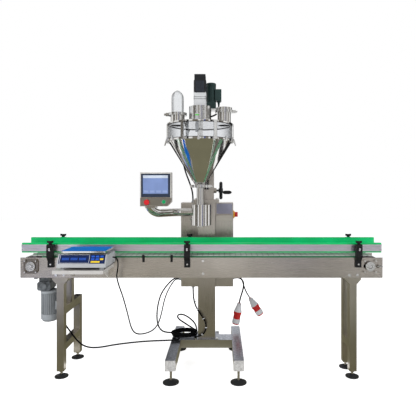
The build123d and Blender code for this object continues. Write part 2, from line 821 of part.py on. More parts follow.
def splash_shield():
    """Dust shield round the filling tube, open at the bottom."""
    inner = shield_radius - shield_wall
    low, high = shield_z
    outline = [(inner, low), (shield_radius, low), (shield_radius, high), (0, high),
               (0, high - shield_wall), (inner, high - shield_wall)]
    shell = turned(outline, nozzle_x + shield_offset, line_y)
    return [shell - rod_z(nozzle_x, line_y, shield_z, tube_radius)]


def auger_screw():
    """Helical flight on its root, with the shaft up to the drive."""
    bottom = tube_bottom + 4
    flight_top = bottom + auger_pitch * flight_turns
    helix = Helix(pitch=auger_pitch, height=flight_top - bottom, radius=(auger_root + auger_radius) / 2)
    section = Plane(origin=helix @ 0, x_dir=(1, 0, 0), z_dir=helix % 0)
    width = auger_radius - auger_root
    flight = sweep(section * Rectangle(width, flight_thickness), path=helix, is_frenet=True)
    root = turned([(0, 0), (auger_root + 1, 0), (auger_root + 1, flight_top - bottom + 10),
                   (auger_shaft_radius, flight_top - bottom + 20),
                   (auger_shaft_radius, stand_top - bottom - 2),
                   (0, stand_top - bottom - 2)])
    return [Pos(nozzle_x, line_y, bottom) * (root + flight)]


def agitator():
    """Stirring blades that follow the cone, on a tube round the auger's shaft."""
    hub_z = (ring_top - 22, stand_top - 30)
    hub = rod_z(0, 0, hub_z, agitator_tube_radius)
    bar_z = (ring_top - 12, ring_top + 8)
    outer_top = hopper_radius - sheet - blade_clearance
    low = cone_bottom + 70
    outer_low = neck_radius - sheet - blade_clearance + cone_slope * (low - cone_bottom)
    for side in (-1, 1):
        bar = block((0, outer_top - 4), about(0, blade_width), bar_z)
        blade = prism_y([(outer_top, bar_z[1]), (outer_top, bar_z[0] - 6), (outer_low, low),
                         (outer_low - blade_thickness, low), (outer_top - blade_thickness - 2, bar_z[0] - 4),
                         (outer_top - blade_thickness - 2, bar_z[1])], about(0, blade_width))
        hub += Rot(0, 0, 0 if side > 0 else 180) * (bar + blade)
    hub -= rod_z(0, 0, (0, stand_top), auger_shaft_radius + running_gap)
    return [Pos(nozzle_x, line_y, 0) * Rot(0, 0, 30) * hub]


# Touch panel

def panel_outline(inset):
    """Outline of the panel box, with its lower right corner cut off."""
    x0, x1 = panel_x[0] + inset, panel_x[1] - inset
    z0, z1 = panel_z[0] + inset, panel_z[1] - inset
    return [(x0, z0), (x1 - panel_corner_cut, z0), (x1, z0 + panel_corner_cut), (x1, z1), (x0, z1)]


def hmi_arm():
    """Bent tube from the column to the panel, with its sleeve, the panel's seat and a stub below."""
    y_panel = sum(panel_y) / 2
    y_column = column_front + arm_radius + 2
    left = base_centre_x - column_side / 2
    seat_low = panel_z[0] - seat_thickness
    points = [(arm_x, y_panel, arm_height + 1.2 * arm_bend), (arm_x, y_panel, arm_height),
              (arm_x + arm_reach, y_column, arm_height), (left, y_column, arm_height)]
    path = FilletPolyline(*points, radius=arm_bend)
    section = Plane(origin=path @ 0, z_dir=path % 0) * (Circle(arm_radius) - Circle(arm_radius - arm_wall))
    above = block(about(arm_x, 4 * arm_radius), about(y_panel, 4 * arm_radius), (seat_low, panel_z[1]))
    bent = sweep(section, path=path) - above
    sleeve = rod_x(y_column, arm_height, (left - 24, left), arm_radius + 9)
    sleeve -= rod_x(y_column, arm_height, (left - 24, left), arm_radius)
    seat_z = (seat_low, panel_z[0] - touch_gap)
    seat = block(about(swivel_x, seat_width), about(y_panel, 2 * arm_radius), seat_z)
    seat = fillet(seat.edges().filter_by(Axis.Z), 12)
    stub = rod_x(y_column, arm_height - 1.75 * arm_radius, (left - 60, left), 11)
    return [bent, sleeve, seat, stub]


def screen_window(y):
    """The block that the screen fills in the panel's front."""
    return block((panel_x[0] + bezel_inset, panel_x[1] - bezel_inset), y,
                 (panel_z[0] + strip_height, panel_z[1] - bezel_inset))


def hmi_box():
    """Panel box that turns on its arm."""
    front, back = panel_y
    hollow = prism_y(panel_outline(panel_wall), (front + 8, back - panel_wall))
    box = prism_y(panel_outline(0), panel_y) - hollow - screen_window((front, front + 6))
    for x, z in ((stop_x, stop_z), (start_x, start_z)):
        box -= rod_y(x, z, (front, front + 8), plunger_radius + running_gap)
    return [box]


def hmi_screen():
    """Touch screen with its bezel, set in the box."""
    return [screen_window((panel_y[0] - 4, panel_y[0] + 6))]


def push_button(x, z, head_radius, head, travel):
    """A button head on its plunger, standing off the panel by its travel."""
    y = panel_y[0] - travel - touch_gap
    cap = rod_y(x, z, (y - head, y), head_radius)
    cap = fillet(cap.edges().sort_by(Axis.Y)[0], head / 3)
    return [rod_y(x, z, (y, y + 24), plunger_radius) + cap]


def stop_button():
    """Red mushroom button."""
    return push_button(stop_x, stop_z, 20, 14, 6)


def start_button():
    """Green push button."""
    return push_button(start_x, start_z, 13.5, 7, 4)


# Conveyor

def side_plate():
    """Folded channel on the operator's side, with the take-up slot."""
    y = line_y - plate_face
    x = about(0, conveyor_length)
    inner = y + plate_thickness
    shapes = block(x, (y, inner), (plate_bottom, plate_top))
    shapes += block(x, (inner, y + plate_flange), (plate_bottom, plate_bottom + plate_thickness))
    run = (drive_x + belt_loop_radius, idler_x - belt_loop_radius)
    shapes += block(run, (inner, y + wear_strip_width), (plate_top - plate_thickness, plate_top))
    slot_height = about(belt_axis_z, 2 * shaft_radius + 1)
    slot = block(about(idler_x, take_up_slot - 2 * shaft_radius), (y, inner), slot_height)
    for side in (-1, 1):
        end = idler_x + side * (take_up_slot / 2 - shaft_radius)
        slot += rod_y(end, belt_axis_z, (y, inner), shaft_radius + 0.5)
    shapes -= slot
    shapes -= rod_y(drive_x, belt_axis_z, (y, inner), shaft_radius + 2)
    return shapes


def conveyor_plates():
    """Both side channels and the round stretchers between them."""
    shapes = both_sides(side_plate)
    y = about(line_y, conveyor_width - 2 * plate_thickness)
    for x in stretcher_xs:
        shapes.append(rod_y(x, belt_axis_z, y, stretcher_radius))
    for z in tie_heights:
        shapes.append(rod_y(tie_x, z, y, stretcher_radius))
    return shapes


def wear_strips():
    """Green plastic strips that the belt slides on."""
    x = (drive_x + belt_loop_radius, idler_x - belt_loop_radius)
    y = (line_y - plate_face, line_y - plate_face + wear_strip_width)
    return both_sides(lambda: block(x, y, (plate_top, plate_top + wear_strip_height)))


def slat_belt():
    """Slat belt as four stretches: upper run, return run and the two end wraps."""
    y = about(line_y, belt_width)
    run = (drive_x, idler_x)
    upper_z = (belt_top - slat_thickness, belt_top)
    upper = [(run[0], upper_z[0]), (run[0], upper_z[1])]
    count = int((run[1] - run[0]) / slat_pitch)
    for index in range(1, count + 1):
        x = run[0] + index * slat_pitch
        upper += [(x - slat_groove / 2, upper_z[1]), (x, upper_z[1] - 2.5), (x + slat_groove / 2, upper_z[1])]
    upper += [(run[1], upper_z[1]), (run[1], upper_z[0])]
    low = belt_axis_z - belt_loop_radius
    shapes = [prism_y(upper, y), block(run, y, (low, low + slat_thickness))]
    for x, side in ((run[0], -1), (run[1], 1)):
        wrap = rod_y(x, belt_axis_z, y, belt_loop_radius)
        wrap -= rod_y(x, belt_axis_z, y, belt_loop_radius - slat_thickness)
        half = (x, x + belt_loop_radius) if side > 0 else (x - belt_loop_radius, x)
        shapes.append(wrap & block(half, y, about(belt_axis_z, 2 * belt_loop_radius)))
    return shapes


def sprocket_shaft(x, y):
    """A shaft with two toothed sprockets inside the belt."""
    shaft = rod_y(x, belt_axis_z, y, shaft_radius - 2 * running_gap)
    teeth = 11
    notch = 7.0
    for offset in (-sprocket_offset, sprocket_offset):
        wheel_y = about(line_y + offset, sprocket_width)
        wheel = rod_y(x, belt_axis_z, wheel_y, sprocket_radius)
        for index in range(teeth):
            angle = math.tau * index / teeth
            notch_x = x + sprocket_radius * math.cos(angle)
            notch_z = belt_axis_z + sprocket_radius * math.sin(angle)
            wheel -= rod_y(notch_x, notch_z, wheel_y, notch)
        shaft += wheel
    return shaft


def drive_shaft():
    """Driven sprocket shaft at the left end."""
    reach = plate_face + bearing_depth + 10
    return [sprocket_shaft(drive_x, (line_y - reach, line_y + reach))]


def idler_shaft():
    """Idle sprocket shaft at the right end, in the take-up slots."""
    reach = plate_face + bearing_depth
    return [sprocket_shaft(idler_x, (line_y - reach, line_y + reach))]


def bearing_block():
    """Square flange bearing of the drive shaft, with its four bolts."""
    y = line_y - plate_face
    z = belt_axis_z
    flange = block(about(drive_x, bearing_side), (y - bearing_depth + 4, y), about(z, bearing_side))
    flange = chamfer(flange.edges().filter_by(Axis.Y), 14)
    flange += rod_y(drive_x, z, (y - bearing_depth, y - 2), 32)
    for dx in (-36, 36):
        for dz in (-36, 36):
            flange += rod_y(drive_x + dx, z + dz, (y - bearing_depth - 4, y - 2), 7)
    return flange - rod_y(drive_x, z, (y - 30, y + 10), shaft_radius - running_gap)


def take_up_block():
    """Sliding bearing block of the idler shaft, with its tension bolt."""
    y = line_y - plate_face
    z = belt_axis_z
    slide = block(about(idler_x, 46), (y - bearing_depth + 2, y), about(z, 46))
    bolt = rod_x(y - 6, z, (idler_x + 23, idler_x + 62), 5)
    lug = block((idler_x + 54, idler_x + 60), (y - bearing_depth + 2, y), about(z, 24))
    bore = rod_y(idler_x, z, (y - 30, y + 10), shaft_radius - running_gap)
    return slide + bolt + lug - bore


def bearing_blocks():
    """Flange bearings at the drive end and take-up bearings at the idle end."""
    return both_sides(bearing_block) + both_sides(take_up_block)


def rail_bottom(side):
    return front_rail_bottom if side < 0 else rear_rail_bottom


def guide_rail(side):
    """Aluminium rail with its green guide strip and the rods that hold it."""
    low = rail_bottom(side)
    x = about(0, conveyor_length)
    face = lane_width / 2
    back = face + guide_thickness + extrusion_depth
    lip = face + guide_thickness + 12
    high = low + rail_height
    guide = [(face, low), (lip, low), (lip, low + rail_lip), (face + guide_thickness, low + rail_lip),
             (face + guide_thickness, high - rail_lip), (lip, high - rail_lip), (lip, high), (face, high)]
    inner = face + guide_thickness
    middle = low + rail_height / 2
    groove = 3.0
    floor = back - groove
    rail = [(inner, low + rail_lip), (back, low + rail_lip), (back, middle - 8), (floor, middle - 6),
            (floor, middle + 6), (back, middle + 8), (back, high - rail_lip), (inner, high - rail_lip)]
    shapes = [prism_x([(line_y + side * y, z) for y, z in outline], x) for outline in (guide, rail)]
    end = plate_face + bracket_depth + rail_rod_stub
    for bracket_x in bracket_xs:
        shapes.append(rod_y(bracket_x, middle, (line_y + side * floor, line_y + side * end), rail_rod_radius))
    return shapes


def front_rail():
    """Guide rail on the operator's side."""
    return guide_rail(-1)


def rear_rail():
    """Guide rail on the column's side."""
    return guide_rail(1)


def wing_knob(x, y, z):
    """Clamping knob: a neck under a wing with rounded ends."""
    low = z + knob_neck
    high = low + knob_height
    left, right = about(x, bracket_width)
    outline = [(x - 7, low), (x + 7, low), (right, high - 5), (right, high),
               (x + 8, high - 3), (x - 8, high - 3), (left, high), (left, high - 5)]
    return rod_z(x, y, (z, low), 6) + prism_y(outline, about(y, 13))


def rail_brackets():
    """Clamp brackets of the guide rails with their wing knobs."""
    shapes = []
    for side in (-1, 1):
        rod_z_level = rail_bottom(side) + rail_height / 2
        top = rod_z_level + bracket_above_rod
        near = plate_face
        far = plate_face + bracket_depth
        foot = plate_face + bracket_foot
        outline = [(near, bracket_bottom), (foot, bracket_bottom), (foot, plate_top - 20),
                   (far, plate_top + 6), (far, top - 6), (far - 6, top), (near, top)]
        outline = [(line_y + side * y, z) for y, z in outline]
        through = (line_y + side * near, line_y + side * far)
        for x in bracket_xs:
            clamp = prism_x(outline, about(x, bracket_width))
            clamp -= rod_y(x, rod_z_level, through, rail_rod_radius + running_gap)
            shapes += [clamp, wing_knob(x, sum(through) / 2, top)]
    return shapes


def leg_head(x, y):
    """Tapered bracket between a leg and the side channel."""
    low = plate_bottom - leg_head_height
    half = leg_head_width / 2
    return prism_y([(x - leg_tube / 2, low), (x + leg_tube / 2, low), (x + half, plate_bottom - 12),
                    (x + half, plate_bottom), (x - half, plate_bottom), (x - half, plate_bottom - 12)],
                   about(y, leg_tube))


def leg_post(x, y, top):
    """A leg tube with the end plate that its foot screws into."""
    plate_z = (leg_bottom, leg_bottom + tube_wall)
    spans = (about(x, leg_tube), about(y, leg_tube))
    return [tube(*spans, (plate_z[1], top), "z"), block(*spans, plate_z)]


def left_leg_frame():
    """Left legs with the outrigger leg behind and their crossbars."""
    front = line_y - plate_face + leg_inset
    rear = line_y + plate_face - leg_inset
    outer = rear + outrigger_reach
    x = about(left_leg_x, leg_tube)
    half = leg_tube / 2
    top = plate_bottom - leg_head_height
    shapes = [*leg_post(left_leg_x, front, top),
              tube(x, about(rear, leg_tube), (upper_bar_height[1], top), "z"),
              *leg_post(left_leg_x, outer, upper_bar_height[1]),
              tube(x, (front + half, outer - half), upper_bar_height, "y"),
              tube(x, (front + half, outer - half), lower_bar_height, "y"),
              leg_head(left_leg_x, front), leg_head(left_leg_x, rear)]
    return shapes


def right_leg_frame():
    """Right legs with their crossbar."""
    front = line_y - plate_face + leg_inset
    rear = line_y + plate_face - leg_inset
    x = about(right_leg_x, leg_tube)
    half = leg_tube / 2
    top = plate_bottom - leg_head_height
    shapes = leg_post(right_leg_x, front, top) + leg_post(right_leg_x, rear, top)
    shapes.append(tube(x, (front + half, rear - half), right_bar_height, "y"))
    return shapes + [leg_head(right_leg_x, front), leg_head(right_leg_x, rear)]


def conveyor_gearmotor():
    """Worm gearbox under the drive end with its upright ribbed motor and terminal box."""
    width, depth, height = gearbox_size
    low = gearbox_top - height
    x = about(gearbox_x, width)
    gearbox = block(x, about(line_y, depth), (low, gearbox_top))
    gearbox = chamfer(gearbox.edges().filter_by(Axis.Y), 10)
    gearbox += rod_y(gearbox_x, low + height / 2, about(line_y, depth + 16), 0.36 * height)
    strap_z = (plate_bottom - strap_thickness, plate_bottom)
    saddle = block(x, about(line_y, conveyor_width - 2 * plate_flange), strap_z)
    saddle += block(about(gearbox_x, width - 20), about(line_y, depth - 20), (gearbox_top, plate_bottom))
    for side in (-1, 1):
        strap_x = about(gearbox_x + side * (width - saddle_strap) / 2, saddle_strap)
        saddle += block(strap_x, about(line_y, conveyor_width), strap_z)
    core = motor_radius - rib_height - 2
    cowl_top = motor_bottom + 52
    cowl = motor_radius - 2
    outline = [(0, motor_bottom), (motor_radius - 14, motor_bottom), (cowl, motor_bottom + 16),
               (cowl, cowl_top), (core, cowl_top), (core, low - 24), (motor_radius, low - 20),
               (motor_radius, low - 8), (motor_radius - 14, low), (0, low)]
    motor = turned(outline, motor_x, line_y)
    rib = block((core - 1, core + rib_height), about(0, rib_thickness), (cowl_top - 1, low - 23))
    for index in range(motor_ribs):
        motor += Pos(motor_x, line_y, 0) * Rot(0, 0, 360 * index / motor_ribs) * rib
    box_x = (motor_x + motor_radius - 12, motor_x + motor_radius + terminal_box_reach)
    box = block(box_x, about(line_y, 56), terminal_box_z)
    entry = gland(Plane(origin=(cable_exit_x, line_y, terminal_box_z[0]), z_dir=(0, 0, -1)))
    return [gearbox + saddle, motor + box + entry]


def photo_sensors():
    """Two small sensors beside the belt on the front channel."""
    shapes = []
    face = line_y - plate_face
    back = face - 4
    for x in sensor_xs:
        arm = block(about(x, 16), (back, face), (plate_top - 31, plate_top + 19))
        head = block(about(x, 14), (back - 14, back), (plate_top - 5, plate_top + 21))
        shapes.append(arm + head)
    return shapes


# Scale

def scale_shelf():
    """Folded tray on two brackets at the front channel."""
    y = (line_y - plate_face - shelf_depth, line_y - plate_face)
    low = shelf_top - shelf_lip
    outer = block(shelf_x, y, (low, shelf_top))
    inner_x = (shelf_x[0] + shelf_sheet, shelf_x[1] - shelf_sheet)
    inner = block(inner_x, (y[0] + shelf_sheet, y[1] - shelf_sheet), (low, shelf_top - shelf_sheet))
    shapes = [outer - inner]
    for x in (shelf_x[0] + 40, shelf_x[1] - 40):
        shapes.append(prism_x([(y[1], low), (y[1], plate_bottom + 10), (y[1] - 12, plate_bottom + 10),
                               (y[1] - 150, low)], about(x, 5)))
    return shapes


def scale_body():
    """Scale housing with its sloping front and four feet."""
    back = line_y - plate_face - scale_rear_gap
    front = line_y - plate_face - shelf_depth + 10
    low = shelf_top + scale_foot
    top = scale_top
    deck = top - scale_console
    outline = [(front, low), (back, low), (back, deck), (front + 52, deck), (front + 44, top),
               (front + 36, top), (front + 2, low + 24)]
    shapes = [prism_x(outline, scale_x)]
    for x in (scale_x[0] + 30, scale_x[1] - 34):
        for y in (front + 30, back - 30):
            shapes.append(rod_z(x, y, (shelf_top, low), 14))
    return shapes


def scale_platter():
    """Weighing pan that lifts off the load cell's stub."""
    back = line_y - plate_face - 27
    y = (back - platter_size[1], back)
    x = about(platter_x, platter_size[0])
    pan = block(x, y, platter_z)
    pan = fillet(pan.edges().filter_by(Axis.Z), 12)
    deck = scale_top - scale_console
    middle = sum(y) / 2
    return [pan + rod_z(platter_x, middle, (deck + touch_gap, platter_z[0]), 30)]


# Cords

def cable_coil():
    """Bundled slack cable on the base, as one ring."""
    low = crossbar_top + foot_plate_thickness + touch_gap
    width, depth = coil_size[0] / 2, coil_size[1] / 2
    hole = Ellipse(width - coil_bundle, depth - coil_bundle)
    ring = extrude(Ellipse(width, depth) - hole, amount=coil_height)
    ring = chamfer(ring.edges().filter_by(GeomType.ELLIPSE), coil_height / 4)
    return [Pos(coil_x, column_y - 5, low) * ring]


def fit_x(points, start, end):
    """The same route with its X stretched to run between two ends."""
    first, last = points[0][0], points[-1][0]
    factor = (end - start) / (last - first)
    return [(start + (x - first) * factor, y, z) for x, y, z in points]


scale_cable_points = fit_x([
    (-591, -262, 848), (-572, -262, 848), (-559, -260, 832), (-556, -256, 794), (-563, -248, 752),
    (-571, -240, 714), (-560, -222, 650), (-541, -200, 581), (-528, -172, 508), (-518, -140, 435),
    (-512, -108, 372), (-506, -72, 312), (-492, -36, 266), (-466, 10, 238), (-420, 72, 226),
    (-378, 130, 231), (-350, 178, 262), (-334, 212, 314), (-324, 240, 370), (-313, 264, 428),
    (-294, 284, 482), (-266, 298, 534), (-243, 304.5, 566), (-226, 304.5, 581), (-205, 304.5, 581)],
    scale_x[1], cabinet_x[0] - gland_length)
motor_cable_points = fit_x([
    (-1018, -70.5, 427), (-1018, -70.5, 403), (-1009, -67, 371), (-986, -60, 336), (-958, -52, 293),
    (-930, -42, 246), (-901, -27, 198), (-860, -11, 158), (-803, 5, 141), (-735, 14, 144),
    (-660, 23, 156), (-540, 35, 168), (-404, 50, 175), (-300, 57, 176), (-242, 62, 177),
    (-210, 76, 179), (-193, 100, 183), (-187, 128, 188)], cable_exit_x, -187)
harness_points = [
    (-205, 354.5, 581), (-235, 354.5, 581), (-268, 352, 560), (-310, 345, 515), (-345, 336, 465),
    (-366, 322, 405), (-377, 302, 335), (-376, 280, 268), (-360, 256, 215), (-328, 233, 188),
    (-285, 213, 184), (-236, 198, 188)]
loop_points = [
    (-60, 200, 192), (-56, 210, 216), (-63, 219, 243), (-85, 226, 271), (-128, 226, 302),
    (-168, 214, 322), (-192, 194, 326), (-197, 174, 318), (-182, 159, 303), (-148, 149, 284),
    (-108, 145, 261), (-77, 146, 238), (-63, 149, 215), (-62, 151, 192)]
panel_cable_points = [
    (-86, 269.5, 510), (-86, 269.5, 484), (-83, 250, 459), (-76, 206, 441), (-66, 160, 425),
    (-52, 121, 404), (-31, 96, 378), (-7, 84, 348), (14, 78, 316), (24, 76, 283), (22, 77, 252),
    (8, 81, 223), (-15, 91, 202), (-44, 104, 191), (-72, 118, 187), (-100, 132, 188)]
mains_cord_points = [
    (256, 304.5, 592), (276, 304.5, 592), (294, 304.5, 584.5), (308, 304.5, 570), (316, 304.5, 551),
    (316.5, 305, 528), (312, 306, 501), (304, 307, 473), (295, 308, 445), (287, 309, 417),
    (282, 309.5, 389)]
feeder_cord_points = [
    (256, 354.5, 592), (274, 354.5, 592), (290, 355, 585), (302, 356, 571), (310, 357, 552),
    (317, 358, 527), (326, 359, 499), (338, 360, 470), (353, 361, 442), (371, 362, 414)]
head_cable_points = [
    (-93, 344.5, 1220), (-93, 344.5, 1256), (-104, 340, 1310), (-124, 332, 1368), (-148, 322, 1430),
    (-166, 310, 1500), (-172, 298, 1572), (-166, 284, 1644), (-148, 264, 1712), (-116, 238, 1770),
    (-72, 206, 1812), (-22, 170, 1838), (30, 132, 1848), (76, 92, 1852), (106, 58, 1864),
    (118, 34.5, 1888), (118, 34.5, 1925)]


def scale_cable():
    """Cable from the scale to the cabinet."""
    return [cord_tube("scale_cable", scale_cable_points, 7)]


def motor_cable():
    """Cable from the conveyor motor to the coil, its raised loop, and its end at the cabinet."""
    return [cord_tube("motor_cable", motor_cable_points, 9), cord_tube("motor_cable loop", loop_points, 9),
            cord_tube("motor_cable upper end", harness_points, 9)]


def panel_cable():
    """Cable from the cabinet's floor to the coil."""
    return [cord_tube("panel_cable", panel_cable_points, 9)]


def mains_cord():
    """Supply cord that hangs beside the cabinet."""
    return [cord_tube("mains_cord", mains_cord_points, 12)]


def feeder_cord():
    """Outlet cord for a feeder."""
    return [cord_tube("feeder_cord", feeder_cord_points, 10)]


def head_cable():
    """Thick cable from the cabinet to the drives on the head."""
    return [cord_tube("head_cable", head_cable_points, 12)]


def power_plug(end, before, length):
    """Round industrial plug in line with the end of its cord."""
    axis = Vector(*end) - Vector(*before)
    body = turned([(0, 0), (11, 0), (15, 14), (23, 40), (27, 60), (31, 64), (31, 88), (28, 92),
                   (28, length - 6), (26, length), (0, length)])
    return [Plane(origin=end, z_dir=axis.normalized()) * body]


def mains_plug():
    """Plug on the supply cord."""
    return power_plug(mains_cord_points[-1], mains_cord_points[-2], 172)


def feeder_coupler():
    """Coupler on the feeder's outlet cord."""
    return power_plug(feeder_cord_points[-1], feeder_cord_points[-2], 160)


subparts = [
    base_frame, levelling_feet, main_column, frame_fasteners, control_cabinet, cabinet_cover, cable_glands,
    isolator_base, isolator_knob, lift_column, lift_screw, handwheel, crank_grip, head_carriage,
    hopper_cone, hopper_window, hopper_lid, hopper_tie_bars, motor_stand, drive_gearbox, servo_motor,
    stirring_motor, head_clamps, vent_dome, inlet_cap, level_sensor, dosing_tube, splash_shield,
    auger_screw, agitator, hmi_arm, hmi_box, hmi_screen, stop_button, start_button,
    conveyor_plates, wear_strips, slat_belt, drive_shaft, idler_shaft, bearing_blocks, front_rail, rear_rail,
    rail_brackets, left_leg_frame, right_leg_frame, conveyor_gearmotor, photo_sensors,
    scale_shelf, scale_body, scale_platter,
    scale_cable, motor_cable, cable_coil, panel_cable, mains_cord, mains_plug, feeder_cord, feeder_coupler,
    head_cable]

for make in subparts:
    solids = [solid for shape in make() for solid in shape.solids()]
    export_step(Compound(children=solids), f"parts/{make.__name__}.step")
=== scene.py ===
import math

import bmesh
import bpy
from mathutils import Matrix, Vector


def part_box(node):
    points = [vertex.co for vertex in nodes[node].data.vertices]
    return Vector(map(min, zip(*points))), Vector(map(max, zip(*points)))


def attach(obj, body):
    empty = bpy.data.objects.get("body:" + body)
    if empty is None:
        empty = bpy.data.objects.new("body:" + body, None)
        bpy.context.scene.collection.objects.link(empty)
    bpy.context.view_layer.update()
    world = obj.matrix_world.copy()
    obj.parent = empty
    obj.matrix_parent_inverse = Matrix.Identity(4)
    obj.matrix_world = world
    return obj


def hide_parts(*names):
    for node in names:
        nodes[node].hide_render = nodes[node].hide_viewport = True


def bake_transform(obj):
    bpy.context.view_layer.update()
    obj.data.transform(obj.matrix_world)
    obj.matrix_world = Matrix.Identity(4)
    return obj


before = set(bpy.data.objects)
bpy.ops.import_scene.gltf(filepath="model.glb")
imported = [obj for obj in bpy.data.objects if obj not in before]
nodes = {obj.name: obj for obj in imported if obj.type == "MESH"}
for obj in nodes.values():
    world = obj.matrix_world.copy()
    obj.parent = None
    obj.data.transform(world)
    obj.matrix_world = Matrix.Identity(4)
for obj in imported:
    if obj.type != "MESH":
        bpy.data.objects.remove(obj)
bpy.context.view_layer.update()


def link_object(name, data):
    """A new object of the scene with the given data."""
    made = bpy.data.objects.new(name, data)
    bpy.context.scene.collection.objects.link(made)
    return made


def rectangle(left, right, low, high):
    """The four corners of a rectangle in a plane."""
    return [(left, low), (right, low), (right, high), (left, high)]


# Camera, light and floor

def make_camera():
    """A level camera in front of the conveyor, at the photograph's distance and height."""
    camera_data = bpy.data.cameras.new("camera")
    camera_data.lens = 37.2
    camera_data.sensor_width = 36.0
    camera_data.shift_x = -0.031
    camera_data.shift_y = -0.048
    camera = link_object("camera", camera_data)
    camera.location = (0.134, -3.1425, 1.311)
    camera.rotation_euler = (math.radians(90), 0, 0)
    bpy.context.scene.camera = camera


def make_lamp(name, place, target, size, power):
    """A square white area lamp that faces a target and shows in no mirror or glass."""
    lamp_data = bpy.data.lights.new(name, "AREA")
    lamp_data.energy = power
    lamp_data.size = size
    lamp = link_object(name, lamp_data)
    lamp.location = place
    direction = Vector(target) - Vector(place)
    lamp.rotation_euler = direction.to_track_quat("-Z", "Y").to_euler()
    lamp.visible_glossy = False
    lamp.visible_transmission = False


def feed(node, values):
    """Feeds a node's sockets, by name or number, with other nodes' outputs, colours or numbers."""
    for key, value in values.items():
        socket = node.inputs[key]
        if isinstance(value, bpy.types.NodeSocket):
            node.id_data.links.new(value, socket)
        elif isinstance(value, tuple):
            socket.default_value = (*value, 1)
        else:
            socket.default_value = value
    return node


def add_node(tree, kind, values):
    """A new shader node with fed sockets."""
    return feed(tree.nodes.new("ShaderNode" + kind), values)


def calculate(operation, *values):
    """The result of a math node, whose first value is another node's output."""
    node = add_node(values[0].id_data, "Math", dict(enumerate(values)))
    node.operation = operation
    return node.outputs[0]


def seen_directly(tree):
    """1 for the rays that show a surface as it is: to the camera, in a mirror or through glass."""
    path = add_node(tree, "LightPath", {})
    total = path.outputs["Is Camera Ray"]
    for name in ("Is Glossy Ray", "Is Transmission Ray"):
        total = calculate("MAXIMUM", total, path.outputs[name])
    return total


def stage_sheet(name, corners):
    """One four-sided sheet of the stage, with its material's nodes and output."""
    mesh = bpy.data.meshes.new(name)
    mesh.from_pydata(corners, [], [(0, 1, 2, 3)])
    sheet = link_object(name, mesh)
    material = bpy.data.materials.new(name)
    material.use_nodes = True
    mesh.materials.append(material)
    tree = material.node_tree
    tree.nodes.clear()
    return sheet, tree, add_node(tree, "OutputMaterial", {})


def make_floor():
    """A pale floor that shows white to the camera but keeps the shadow."""
    half, white_level = 14.0, 0.62
    corners = [(x, y, 0) for x, y in rectangle(-half, half, -half, half)]
    _, tree, output = stage_sheet("floor", corners)
    matt = add_node(tree, "BsdfDiffuse", {"Color": (0.9, 0.9, 0.9)})
    strength = calculate("MULTIPLY", seen_directly(tree), white_level)
    glow = add_node(tree, "Emission", {"Strength": strength})
    both = add_node(tree, "AddShader", {0: matt.outputs[0], 1: glow.outputs[0]})
    feed(output, {"Surface": both.outputs[0]})


def make_world():
    """A soft grey surround that the camera, mirrors and glass see as white."""
    world = bpy.data.worlds.new("studio")
    bpy.context.scene.world = world
    world.use_nodes = True
    tree = world.node_tree
    tree.nodes.clear()
    soft = add_node(tree, "Background", {"Color": (0.92, 0.93, 0.95), "Strength": 0.5})
    white = add_node(tree, "Background", {"Color": (1, 1, 1), "Strength": 1.0})
    mix = add_node(tree, "MixShader", {0: seen_directly(tree), 1: soft.outputs[0], 2: white.outputs[0]})
    add_node(tree, "OutputWorld", {"Surface": mix.outputs[0]})


def make_flag(name, corners, colour):
    """A studio flag that only shiny surfaces see."""
    flag, tree, output = stage_sheet(name, corners)
    glow = add_node(tree, "Emission", {"Color": colour})
    feed(output, {"Surface": glow.outputs[0]})
    for ray in ("camera", "diffuse", "shadow", "transmission", "volume_scatter"):
        setattr(flag, "visible_" + ray, False)


def make_flags():
    """Upright flags round the machine, strips before and behind it and a ceiling, for the steel's bands."""
    olive, brown, grey = (0.27, 0.245, 0.21), (0.16, 0.145, 0.125), (0.46, 0.45, 0.43)
    dark, blue = (0.02, 0.02, 0.02), (0.1, 0.13, 0.34)
    distance, height = 4.6, 4.4
    upright = [(-23, -4, olive), (4, 12, grey), (14, 20, blue), (20, 30, olive), (36, 46, dark),
               (58, 64, grey), (67, 88, brown), (108, 118, grey), (122, 172, dark), (-172, -140, dark),
               (-134, -122, olive), (-104, -96, grey), (-74, -47, brown), (-44, -36, dark)]
    for index, (low, high, colour) in enumerate(upright):
        corners = []
        for angle, z in rectangle(low, high, 0.0, height):
            turn = math.radians(angle - 90)
            corners.append((distance * math.cos(turn), distance * math.sin(turn), z))
        make_flag(f"flag_{index}", corners, colour)
    level, spread = 0.012, 1.25
    strips = [(-1.5, 1.35, (0.21, 0.20, 0.13)), (-1.8, -1.53, (0.01, 0.09, 0.6)), (-2.3, -1.9, olive),
              (-2.9, -2.5, dark), (1.38, 1.5, (0.01, 0.12, 0.05)), (1.52, 2.0, brown), (2.2, 2.5, dark),
              (2.6, 3.1, olive)]
    for side in (-1, 1):
        near, far = side * 0.04, side * 3.4
        for index, (left, right, colour) in enumerate(strips):
            corners = [(left, near, level), (right, near, level),
                       (spread * right, far, level), (spread * left, far, level)]
            make_flag(f"strip_{side}_{index}", corners, colour)
    half, ceiling = 4.5, 4.6
    overhead = [(-3.3, -2.7, dark), (-2.3, -1.2, brown), (-0.6, 0.3, grey), (1.2, 2.3, brown),
                (2.7, 3.3, dark)]
    for index, (near, far, colour) in enumerate(overhead):
        corners = [(x, y, ceiling) for x, y in rectangle(-half, half, near, far)]
        make_flag(f"ceiling_{index}", corners, colour)


make_camera()
make_floor()
make_world()
make_flags()
make_lamp("key", (-2.6, -3.0, 3.2), (0, 0, 1.0), 2.2, 95)
make_lamp("fill", (3.2, -2.2, 2.4), (0, 0, 1.0), 1.8, 60)
make_lamp("rim", (0.5, 3.2, 3.2), (0, 0, 1.2), 2.2, 60)

bpy.context.scene.view_settings.view_transform = "Standard"


# Materials

